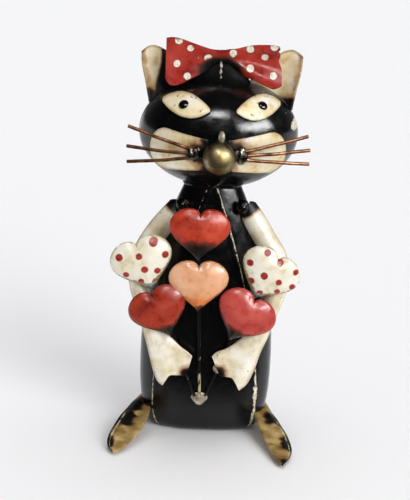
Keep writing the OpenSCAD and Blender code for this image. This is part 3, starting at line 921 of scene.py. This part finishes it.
def rod(start, end, radius, sag=0.0, seed=0.0):
    """A wire between two points in mm: nearly straight, as a hand leaves it, its ends cut square."""
    bm = bmesh.new()
    way = end - start
    bmesh.ops.create_cone(bm, cap_ends=True, segments=16, radius1=radius, radius2=radius, depth=way.length)
    soften_level_edges(bm, radius * 0.2)
    for k in range(1, ROD_RINGS):
        cut = way.length * (k / ROD_RINGS - 0.5)
        everything = bm.verts[:] + bm.edges[:] + bm.faces[:]
        bmesh.ops.bisect_plane(bm, geom=everything, plane_co=(0, 0, cut), plane_no=(0, 0, 1))
    turn = Vector((0, 0, 1)).rotation_difference(way).to_matrix()
    for vert in bm.verts:
        share = vert.co.z / way.length + 0.5
        drift = Vector((wobble((share * 3, seed, 0), 1, 0.25), wobble((0, seed, share * 3), 1, 0.25), 0))
        vert.co = turn @ (vert.co + drift * math.sin(math.pi * share)) + (start + end) / 2
        vert.co.z -= sag * math.sin(math.pi * share)
    return bm


WHISKER_R = 0.85
for side_name, side in SIDES:
    for row, name in enumerate(("top", "middle", "bottom")):
        node = f"whisker_{side_name}_{name}"
        low, high = box_mm(node)
        root_x, tip_x = (high.x, low.x) if side < 0 else (low.x, high.x)
        root_z, tip_z = low.z + WHISKER_R, high.z - WHISKER_R
        if name == "bottom":
            root_z, tip_z = tip_z, root_z
        root = Vector((root_x, low.y + WHISKER_R, root_z))
        tip = Vector((tip_x, high.y - WHISKER_R, tip_z))
        piece(node, rod(root, tip, WHISKER_R, sag=0.3, seed=row + side), copper_finish, "copper_wire")
    node = f"whisker_weld_{side_name}"
    piece(node, lump((3.4, 2.6, 3.6), node_middle(node), 3.0 + side, rough=0.22), braze_metal, "weld_metal")

# ---------------------------------------------------------------- bow
# One strip of sheet, cut to a bow's outline, creased fanwise from its middle and painted red with
# cream dots. A lump of black weld under its arch holds it to the crown of the head.

BOW_STATIONS = [(-25, 177, 196.5), (-22.5, 174.1, 197), (-18.5, 174.4, 196.6), (-12.7, 177.4, 194.6),
                (-6.5, 180.8, 192.6), (-2.6, 184.2, 191.7), (2, 186.2, 191.5), (6.6, 183.8, 192.2),
                (10.8, 180, 193.4), (17, 178, 195), (22.5, 175.8, 195.6), (27, 174.2, 195.5),
                (30.2, 176, 194)]
BOW_Y = -8.0
BOW_MIDDLE = Vector((2, 0, 188.5))
# cream dots: x, z, radius
BOW_DOTS = [(-19.0, 195.9, 2.0), (-13.4, 192.1, 1.7), (-4.7, 187.2, 2.2), (-19.7, 184.4, 1.8),
            (-14.5, 178.6, 1.8), (-9.5, 187.4, 0.4), (7.1, 190.4, 1.9), (15.1, 193.0, 1.9),
            (26.5, 194.8, 2.0), (22.3, 189.1, 1.8), (15.5, 183.6, 1.9), (26.7, 180.6, 1.8)]


def bow_point(u, v):
    s = along(BOW_STATIONS, u)
    x, z = s.x, mix(s.y, s.z, v)
    arm = Vector((x - BOW_MIDDLE.x, 0, z - BOW_MIDDLE.z))
    fan = math.atan2(arm.z, abs(arm.x)) if arm.length > 0.01 else 0.0
    reach = smooth(arm.length, 2, 22)
    depth, folds = (2.4, 8.5) if x > BOW_MIDDLE.x else (1.3, 5.0)
    crease = depth * reach * math.cos(folds * (fan + 0.1))
    sweep = -2.2 * (abs(x - BOW_MIDDLE.x) / 28) ** 2
    nick = smooth(u, 0.93, 1) * (0.7 - 1.9 * math.exp(-((z - 187.5) / 3) ** 2) - 2.4 * smooth(z, 189, 193))
    return (x + nick, BOW_Y + crease + sweep - 1.5 * v + wobble((x, 0, z), 8, 0.35), z)


def red_dotted(name, ground, dots, grime_and_shade, scorch):
    """Glossy paint with brushed dots: the mark dot is mm outside the nearest dot's rim.

    Scorch lists (start, end, colour) over the mark burn, the first colour undermost."""
    paint = Finish(name)
    base = paint.ramp(paint.cloud(8, 5), ground)
    veins = paint.step(paint.cloud(4.5, 4, shift=0.25), 0.6, 0.75)
    base = paint.over(veins, base, grime_and_shade, 0.22)
    wavy = paint.frayed(paint.mark("dot"), paint.cloud(1.6, 3, shift=0.6), 0.12)
    ring = paint.step(paint.sum("ABSOLUTE", wavy, 0.0), 0.05, 0.25, 0.7, 0.0)
    spot = paint.step(wavy, -0.06, 0.06, 1.0, 0.0)
    base = paint.over(spot, base, paint.ramp(paint.cloud(1.3, 4, shift=0.15), dots))
    base = paint.over(ring, base, grime_and_shade)
    base = paint.over(paint.specks(2.0, 0.07, 0.04, 0.1, (7, 0.8, 0.5, 0.6)), base, "#2a160c", 0.75)
    # darker near the rim: grime along the rim, and on the hearts painted shade over their lower part
    edge = paint.frayed(paint.mark("edge"), paint.cloud(2.0, 4, shift=0.5), 0.3)
    base = paint.over(paint.step(edge, -0.1, 0.7, 0.9, 0.0), base, grime_and_shade)
    heat = paint.frayed(paint.mark("burn"), paint.cloud(3.5, 5, shift=0.4), 0.1, 0.25, 0.75)
    for start, end, tint in scorch:
        base = paint.over(paint.step(heat, start, end), base, tint)
    skin = paint.relief(spot, 0.05, paint.beaten(1.1, 0.035, 6, 0.15))
    rough = paint.step(paint.cloud(4, 3), 0.3, 0.7, 0.24, 0.4)
    return paint.done(base, rough, skin, gloss=0.5)


BOW_CREAM = [(0.3, "#c7ad7c"), (0.45, "#efe6d2"), (0.7, "#fbf7ec")]
BOW_RED = [(0.3, "#8e1d13"), (0.5, "#b02c1f"), (0.7, "#c03d2f")]
RED_BURN = [(0.1, 0.45, "#6b2412"), (0.4, 0.72, "#2c150b"), (0.68, 0.92, "#0a0908")]


def bow_burn(at, u, v):
    return 1 - smooth(math.hypot((at.x - 1.5) / 11, (at.z - 181) / 7.5), 0.6, 1.3)


def dot_rule(dots):
    def rule(at, u, v):
        return min(4.0, min(math.hypot(at.x - x, at.z - z) - r for x, z, r in dots))
    return rule


bow = sheet(200, 90, bow_point)
write_mark(bow, "dot", dot_rule(BOW_DOTS))
write_mark(bow, "edge", lambda at, u, v: min(v * 16, (1 - v) * 16, u * 40, (1 - u) * 40) + 0.2)
write_mark(bow, "burn", bow_burn)
bow_paint = red_dotted("bow_paint", BOW_RED, BOW_CREAM, "#5e1a10", RED_BURN)
piece("bow", bow, bow_paint, "dotted_red_paint", wall=SHEET, edge=0.3)

BOW_WELD_AT = Vector((2, -5.8, 177.8))
UNDER_CROWN = 0.98


def bow_mound():
    """The lump under the bow, spread out at its foot and let a little into the crown of the head."""
    bm = lump((8.6, 4.2, 8.6), (0, 0, 0), 2.0, rough=0.05, rings=5)
    for vert in bm.verts:
        vert.co.x *= 1 + 0.65 * smooth(-vert.co.z, -7, 2)
        out = vert.co + BOW_WELD_AT - HEAD
        depth = Vector([out[i] / HEAD_HALF[i] for i in range(3)]).length
        vert.co = HEAD + out * max(1.0, UNDER_CROWN / depth)

    # a thin upright line of bare weld metal down the front of the lump: a painted highlight
    def streak(at, u, v):
        return 0.55 * math.exp(-((at.x - 1.6) / 0.8) ** 2) * smooth(at.z, 176.5, 179) - 0.15

    write_mark(bm, "bare", streak)
    return bm


piece("bow_weld", bow_mound(), scorched_weld("sooty_weld", 0.85), "black_weld")

# ---------------------------------------------------------------- arms
# Each arm is a cream half-round strip that ends in a flattened mitt with two points. Its top is
# drowned in a black lump of weld at the shoulder, and its mitt is burnt where it grips the bouquet.

ARM_OUTER = {
    -1: [(-18.5, 117.5), (-25, 110.5), (-30.8, 103), (-36.2, 93.5), (-38.6, 83.5), (-37.4, 74), (-34, 64.5),
         (-30.8, 55.5), (-28, 45.5), (-25.6, 35.5), (-23.2, 29), (-20.3, 26.5)],
    1: [(19.5, 118), (25.1, 111), (30.5, 102.5), (36.5, 93), (38.8, 83), (36.8, 74), (33.4, 65),
        (30, 55.5), (26.2, 45.5), (23.6, 36), (20.6, 29), (16.8, 25.5)]}
ARM_INNER = {
    -1: [(-13.5, 113.5), (-17, 106), (-22.4, 99.2), (-28, 90.5), (-30, 82), (-28.8, 71.5), (-25.4, 61.5),
         (-21.5, 54), (-16.5, 49.4), (-12.5, 46), (-9.2, 44), (-6.8, 42)],
    1: [(14.5, 114), (16.8, 107.5), (22.8, 98), (28.3, 90), (30, 82), (28.3, 71.5), (24.6, 61.5),
        (19.6, 53.5), (14, 48.3), (9.4, 45.8), (5.4, 44.3), (3.4, 42.2)]}
FINGER_ENDS = {
    -1: [(-20.3, 26.5), (-18.9, 29.7), (-17.5, 31.8), (-13, 32.1), (-9.2, 33), (-6.8, 42)],
    1: [(16.8, 25.5), (15.2, 29.1), (13.6, 31.6), (10.2, 32.3), (7, 33.6), (3.4, 42.2)]}
HAND_BURNT = {-1: Vector((-8.5, 0, 33)), 1: Vector((6.5, 0, 33.5))}
# how far in front of the body's middle the strip is along its length, and how far it bulges
ARM_FRONT = [7, 8.5, 10, 12, 15, 18.5, 21, 22.6, 23, 23, 23, 23]
ARM_BULGE = [2.5, 3.6, 3.8, 3.8, 3.8, 3.8, 3.6, 3, 2.2, 1.6, 1.2, 1]


def run_of(points, share):
    """A point on a path given as flat (x, z) pairs."""
    at = along([(x, z, 0) for x, z in points], share)
    return Vector((at.x, 0, at.y))


def arm(side):
    outer, inner, ends = ARM_OUTER[side], ARM_INNER[side], FINGER_ENDS[side]

    def point(u, v):
        top = max(v, 0.03 * abs(2 * u - 1) ** 3)
        p = run_of(outer, top).lerp(run_of(inner, top), u)
        p += (run_of(ends, u) - run_of(outer, 1).lerp(run_of(inner, 1), u)) * smooth(v, 0.86, 1.0)
        front = along([(f, b, 0) for f, b in zip(ARM_FRONT, ARM_BULGE)], v)
        lift = front.x + front.y * math.sin(math.pi * u) ** 0.75
        crease = 0.5 * smooth(v, 0.72, 0.9) * math.cos(u * 9.5 + 0.6)
        return (p.x, crease - lift + wobble((p.x, 0, p.z), 6, 0.25, side * 2), p.z)

    bm = sheet(40, 220, point)
    write_mark(bm, "edge", lambda at, u, v: min(u, 1 - u) * 12 + 0.25 if v < 0.98 else (1 - v) * 110)
    shoulder = node_middle("shoulder_weld_left" if side < 0 else "shoulder_weld_right")
    burnt = HAND_BURNT[side]

    def burn(at, u, v):
        top = 1.1 * (1 - min(smooth((at - shoulder).xz.length, 4, 8), smooth(v, 0.03, 0.08)))
        corner = 0.85 * (1 - smooth((at - burnt).xz.length, 0.5, 8))
        low = 0.15 * smooth(v, 0.55, 0.66) * (1 - smooth(v, 0.66, 0.8))
        return max(top, corner, low)

    write_mark(bm, "burn", burn)
    return bm


ARM_CREAM = [(0.3, "#d6c59b"), (0.43, "#ebdfc0"), (0.56, "#f7f0dd"), (0.72, "#fdfaf2")]
arm_paint = cream_paint("arm_paint", ARM_CREAM, 0.15)
for side_name, side in SIDES:
    piece(f"arm_{side_name}", arm(side), arm_paint, "cream_paint", wall=STRIP, edge=0.3, turned=side > 0)
    spot = node_middle(f"shoulder_weld_{side_name}")
    knob = lump((3.3, 3.4, 3.6), spot, 7.0 + side, rough=0.05, rings=5)
    for knob_vert in knob.verts:
        knob_vert.co.y += 0.12 * math.cos((knob_vert.co - spot).xz.length * 5)
    write_mark(knob, "bare", lambda at, u, v: -0.08)
    piece(f"shoulder_weld_{side_name}", knob, burnt_weld, "black_weld")

# ---------------------------------------------------------------- bouquet
# Six pressed hearts, puffed in front, welded by their points to three steel stems that meet low on
# the front panel in a shield of weld. The lower three hearts are tacked on in front of the stems.


def stem_steel():
    metal = Finish("stem_steel")
    patch = metal.sum("ADD", metal.cloud(2.6, 4, stretch=(1, 1, 0.4)), metal.mark("bare"))
    flaked = metal.step(patch, 0.6, 0.7)
    tint = metal.over(flaked, "#141311", "#c5b893")
    skin = metal.relief(metal.cloud(0.8, 3, shift=0.2), 0.05)
    return metal.done(tint, metal.step(flaked, 0.0, 1.0, 0.25, 0.6), skin, metal=0.2)


stem_finish = stem_steel()
STEM_R = 0.75

for name, lean in (("stem_left", -1), ("stem_centre", -1), ("stem_right", 1)):
    low, high = box_mm(name)
    foot = Vector((high.x - STEM_R if lean < 0 else low.x + STEM_R, high.y - STEM_R, low.z))
    top = Vector((low.x + STEM_R if lean < 0 else high.x - STEM_R, low.y + STEM_R, high.z))
    stem = rod(foot, top, STEM_R, seed=lean * 3.0)
    flaked_foot = 0.16 if name == "stem_centre" else 0.0
    write_mark(stem, "bare", lambda at, u, v: flaked_foot * (1 - smooth(at.z, 34, 46)) - 0.04)
    piece(name, stem, stem_finish, "stem_rod")


def bouquet_shield():
    """A puddle of weld in the shape of a small shield, pale with primer."""
    low, high = box_mm("bouquet_weld")
    middle, half = (low + high) / 2, (high - low) / 2
    bm = globe(64, 32)
    for vert in bm.verts:
        p = vert.co.copy()
        round_off = max(0.35, max(0.0, 1 - p.z ** 2) ** 0.25)
        wide = half.x * (1 - 0.55 * smooth(-p.z, -0.3, 1.0)) / round_off
        puff = half.y * (1 + wobble(p, 0.8, 0.2, 4.0))
        vert.co = Vector((p.x * wide, p.y * puff, p.z * half.z)) + middle
        vert.co.y = min(vert.co.y, high.y)
    return bm


piece("bouquet_weld", bouquet_shield(), pale_weld, "weld_metal")
for side_name, seed in (("left", 1.0), ("right", 4.0)):
    spot = node_middle(f"hand_weld_{side_name}")
    piece(f"hand_weld_{side_name}", lump((2.3, 2.0, 2.5), spot, seed, rough=0.1), pale_weld, "weld_metal")

HEART_W = 30.0
HEART_H = 27.5
POINT_DROP = 0.586
FRONT_PUFF = 5.0
BACK_PUFF = 2.0


def heart_outline(t):
    """The rim, t from 0 at the cleft round to the cleft again, in mm from the heart's middle."""
    tall = 13.5 * math.cos(t) - 3.2 * math.cos(2 * t) - 1.5 * math.cos(3 * t) - 0.8 * math.cos(4 * t)
    return HEART_W / 2 * math.sin(t) ** 3, HEART_H * tall / 27.3


RIM_POINTS = [heart_outline(math.pi * k / 90) for k in range(91)]
HEART_RIM = [(math.atan2(x, z), math.hypot(x, z)) for x, z in RIM_POINTS]


def dome(x, z):
    """How far a heart is puffed at a place in mm from its middle: 1 there, and 0 at the rim."""
    share = min(1.0, math.hypot(x, z) / level(HEART_RIM, abs(math.atan2(x, z))))
    return (1 - share * share) ** 0.62


def hang(bm, node, lean, size):
    """Sizes and leans a shape made round its own middle, and hangs it by its node's middle."""
    bmesh.ops.scale(bm, vec=(size, size, size), verts=bm.verts)
    bmesh.ops.rotate(bm, cent=(0, 0, 0), matrix=Matrix.Rotation(math.radians(lean), 3, "Y"), verts=bm.verts)
    low = Vector([min(v.co[i] for v in bm.verts) for i in range(3)])
    high = Vector([max(v.co[i] for v in bm.verts) for i in range(3)])
    bmesh.ops.translate(bm, vec=node_middle(node) - (low + high) / 2, verts=bm.verts)


def heart(node, lean, size, seed, burn_reach, dots=None):
    """A puffed heart. Dots are x, z and radius in mm from its middle.

    It is all burnt as near as the first reach, in mm, to a spot below its point, and clean past the second.
    """
    bm = globe(128, 72)
    for vert in bm.verts:
        p = vert.co.copy()
        r = min(1.0, math.hypot(p.x, p.z))
        turn = math.atan2(p.x, p.z)
        x, z = heart_outline(math.copysign(math.pi * (abs(turn) / math.pi) ** 0.6, turn))
        puff = (1 - r * r) ** 0.5
        # the dimple under the cleft is eased by taking the mean of the dome across it
        ease = 2.6 * smooth(z * r, 0, 5) * (1 - smooth(r, 0.88, 0.99)) if abs(x * r) < 8 else 0.0
        if ease > 0:
            full = sum(dome(x * r + ease * k / 4, z * r) for k in range(-4, 5)) / 9
        else:
            full = puff ** 1.24
        deep = -FRONT_PUFF * full if p.y < 0 else BACK_PUFF * full
        vert.co = Vector((x * r, deep + wobble((x * r, 0, z * r), 7, 0.3, seed) * puff, z * r))
    write_mark(bm, "dot", dot_rule(dots) if dots else lambda at, u, v: 4.0)
    below = Vector((0, 0, -HEART_H * POINT_DROP - 6))
    write_mark(bm, "burn", lambda at, u, v: 1 - smooth((at - below).xz.length, *burn_reach))
    # edge is mm from the rim, made smaller over the lower part, so the paint darkens there as painted shade
    write_mark(bm, "edge", lambda at, u, v: 0.3 + 0.34 * abs(at.y) ** 1.6 - 1.5 * smooth(-at.z, -3, 12))
    hang(bm, node, lean, size)
    return bm


LEFT_DOTS = [(-9.4, 5.9, 1.7), (-0.2, 3.8, 1.5), (8.3, 7.9, 2.1), (11.6, 0.4, 1.6), (0.2, -3.0, 1.6),
             (5.6, -5.8, 1.5), (-9.1, -3.0, 1.4), (-3.4, -8.2, 1.4), (3.0, -10.6, 1.5)]
RIGHT_DOTS = [(-6.3, 8.9, 1.6), (1.5, 7.9, 1.5), (10.5, 7.6, 1.4), (-11.1, 0.4, 1.6), (-2.0, -1.3, 1.8),
              (5.7, -0.5, 1.5), (-5.8, -7.2, 1.6), (0.8, -10.0, 1.5), (7.8, -5.2, 1.4), (12.9, 0.4, 1.5)]
RED = [(0.3, "#93230f"), (0.5, "#bd3519"), (0.7, "#cc482b")]
DEEP_RED = [(0.3, "#7d1c0c"), (0.5, "#a32d15"), (0.7, "#b43c22")]
ROSE = [(0.3, "#a5342c"), (0.5, "#c0453b"), (0.7, "#cc564a")]
PEACH = [(0.3, "#d99568"), (0.5, "#ebae83"), (0.7, "#f2bd98")]
CREAM_GROUND = [(0.3, "#d6c69c"), (0.45, "#ebe2c9"), (0.7, "#f6f2e4")]
RED_DOT = [(0.3, "#7c0f12"), (0.5, "#a81a1e"), (0.7, "#c23a38")]
GREY_BURN = [(0.35, 0.6, "#9aa094"), (0.8, 1.0, "#5e6054")]
PEACH_BURN = [(0.02, 0.35, "#dd8040"), (0.68, 0.85, "#5c2c10"), (0.8, 0.95, "#0a0908")]
red_paint = red_dotted("red_paint", RED, RED, "#5e1a10", RED_BURN)
deep_red = red_dotted("deep_red_paint", DEEP_RED, RED, "#4a130b", RED_BURN)
rose_paint = red_dotted("rose_paint", ROSE, RED, "#6a1f1c", RED_BURN)
peach_paint = red_dotted("peach_paint", PEACH, RED, "#a5653a", PEACH_BURN)
dotted_paint = red_dotted("dotted_paint", CREAM_GROUND, RED_DOT, "#8f7440", GREY_BURN)
# each heart: its lean in degrees, size, burn's reach, dots, finish and slot
HEARTS = {"top_red": (1, 0.99, (12, 22), None, red_paint, "red_paint"),
          "peach": (-1, 0.97, (6, 20), None, peach_paint, "peach_paint"),
          "lower_red": (-25, 0.98, (9.5, 17), None, deep_red, "red_paint"),
          "rose": (30, 1.0, (10, 18), None, rose_paint, "rose_paint"),
          "dotted_left": (-21, 1.03, (9.5, 14), LEFT_DOTS, dotted_paint, "dotted_cream_paint"),
          "dotted_right": (29, 1.0, (9.5, 14), RIGHT_DOTS, dotted_paint, "dotted_cream_paint")}
for seed, (name, (lean, size, reach, dots, finish, slot)) in enumerate(HEARTS.items(), 1):
    piece(f"heart_{name}", heart(f"heart_{name}", lean, size, seed, reach, dots), finish, slot)

# ---------------------------------------------------------------- feet
# Long leaves of strip that run out from under the body and down to the table. The outer rim of each is
# turned down over a raised crest, and the paint is scorched in patches along it.

FOOT_OUTER = {
    -1: [(-29.5, 10, 12.5), (-35, -3, 10.6), (-40, -15.5, 8.2), (-43.6, -27, 5.8), (-45.8, -38, 3.6),
         (-45.6, -46.5, 2.1), (-42.4, -53.6, 1.6)],
    1: [(29.5, 8, 12), (33.5, -4.5, 9.2), (37.9, -16.5, 6.6), (41.6, -29, 4.4), (43.4, -41, 2.6),
        (42.6, -51, 1.9), (38.6, -61, 1.6)]}
FOOT_INNER = {
    -1: [(-24.5, 6, 11.5), (-26.4, -9, 9.7), (-27.6, -20.5, 7.8), (-30.2, -31, 5.2), (-33.9, -40, 3.4),
         (-38, -48, 2), (-42.4, -53.6, 1.6)],
    1: [(23.5, 6, 11.5), (25.2, -9, 9.5), (26.8, -21, 7.7), (29.9, -34, 5), (33.2, -46.5, 3),
        (35.6, -55.5, 1.9), (38.6, -61, 1.6)]}


# dark patches, the left foot's second one at its root by the body: where across and along the leaf,
# how wide and how long, and how deep
FOOT_DARK_PATCHES = {-1: [(0.74, 0.42, 0.34, 0.1, 1.1), (0.95, 0.22, 0.6, 0.12, 0.9),
                    (0.88, 0.8, 0.18, 0.12, 1.0)],
               1: [(0.8, 0.3, 0.5, 0.1, 0.8), (0.88, 0.62, 0.25, 0.09, 1.2), (0.6, 0.96, 0.6, 0.09, 1.2)]}


def inside_body(point):
    """How far a point lies inside the body's skin, as a share: above 1 is outside."""
    power = body_boxiness(point.z)
    wide, deep = body_half_width(point.z), body_half_depth(point.z)
    return (abs(point.x) / wide) ** power + (abs(point.y) / deep) ** power


COOKED_CREAM = [(0.3, "#6b5027"), (0.45, "#9a7b43"), (0.58, "#bda064"), (0.72, "#d6c18d")]


def scorched_leaf():
    """Cream paint that has been cooked: tan all over, black in patches, worn pale along the crest."""
    paint = Finish("scorched_leaf")
    base = paint.ramp(paint.cloud(8, 5), COOKED_CREAM)
    patch = paint.frayed(paint.mark("burn"), paint.cloud(6, 4, shift=0.31), 0.3, 0.2, 0.8)
    base = paint.over(paint.step(patch, 0.18, 0.5), base, "#5a3b18")
    base = paint.over(paint.step(patch, 0.42, 0.6), base, "#0d0b09")
    crest = paint.frayed(paint.mark("crest"), paint.cloud(5, 4, shift=0.5), 0.3)
    base = paint.over(paint.step(crest, 0.3, 0.6), base, "#ded0ac")
    turned = paint.frayed(paint.mark("turned"), paint.cloud(3, 4, shift=0.6), 0.2)
    base = paint.over(paint.step(turned, 0.4, 0.6), base, "#0c0b0a")
    rough = paint.step(paint.cloud(4, 3), 0.3, 0.7, 0.26, 0.5)
    return paint.done(base, rough, paint.beaten(1.0, 0.04, 7, 0.25), gloss=0.45)


leaf_finish = scorched_leaf()


def foot(side):
    def point(u, v):
        p = along(FOOT_INNER[side], v).lerp(along(FOOT_OUTER[side], v), u)
        rim = 0.3 + 1.9 * u ** 6 * (1 - v)
        crest = 0.45 * math.exp(-((u - 0.72) / 0.1) ** 2) * (1 - v ** 3)
        trough = 0.6 * math.exp(-((u - 0.35) / 0.22) ** 2) * (1 - v)
        return Vector((p.x, p.y, max(STRIP, p.z - rim + crest - trough + wobble(p, 9, 0.3))))

    bm = sheet(56, 150, point)
    buried = [vert for vert in bm.verts if inside_body(vert.co) < 0.9]
    bmesh.ops.delete(bm, geom=buried, context="VERTS")

    def crest(at, u, v):
        return 0.7 * math.exp(-((u - 0.87) / 0.03) ** 2) * smooth(v, 0.2, 0.45)

    def burn(at, u, v):
        return max(much * math.exp(-((u - a) / wide) ** 2 - ((v - b) / long) ** 2)
                   for a, b, wide, long, much in FOOT_DARK_PATCHES[side])

    write_mark(bm, "crest", crest)
    write_mark(bm, "turned", lambda at, u, v: smooth(u, 0.88, 1.0))
    write_mark(bm, "burn", burn)
    return bm


for name, side in SIDES:
    piece(f"foot_{name}", foot(side), leaf_finish, "cream_paint", wall=STRIP, edge=0.3, turned=side < 0)

# ---------------------------------------------------------------- tail
# A tapering strip welded low on the back seam, dished along its length and curled up behind the body.

TAIL_PATH = [(0, 22.6, 12), (1, 31, 10), (4, 40, 16), (8, 44, 30), (11, 41, 46), (10, 37, 60),
             (6, 36.5, 70)]


def tail_point(u, v):
    p = along(TAIL_PATH, v)
    wide = mix(9, 3.2, v) * math.sqrt(max(0.0, 1 - max(0.0, (v - 0.93) / 0.07) ** 2))
    return p + Vector((-mix(-0.5, 0.5, u) * wide, STRIP - 0.8 * (2 * u - 1) ** 2, 0))


def tail_burn(at, u, v):
    return 0.4 * (1 - smooth(v, 0.03, 0.16)) + 0.2 * smooth(v, 0.9, 1.0) - 0.05


tail = sheet(20, 160, tail_point)
write_mark(tail, "crest", lambda at, u, v: 0.45 * math.exp(-((u - 0.5) / 0.12) ** 2))
write_mark(tail, "turned", lambda at, u, v: smooth(abs(u - 0.5), 0.42, 0.5))
write_mark(tail, "burn", tail_burn)
piece("tail", tail, leaf_finish, "cream_paint", wall=STRIP, edge=0.3)

tail_knob = lump((4.6, 2.0, 4.2), node_middle("tail_weld"), 9.0, rough=0.16)
write_mark(tail_knob, "bare", lambda at, u, v: 0.02)
piece("tail_weld", tail_knob, burnt_weld, "black_weld")

# ---------------------------------------------------------------- sizes and hand-over

made_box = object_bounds()
[[list(corner) for corner in box] for box in (cad_box, made_box)]
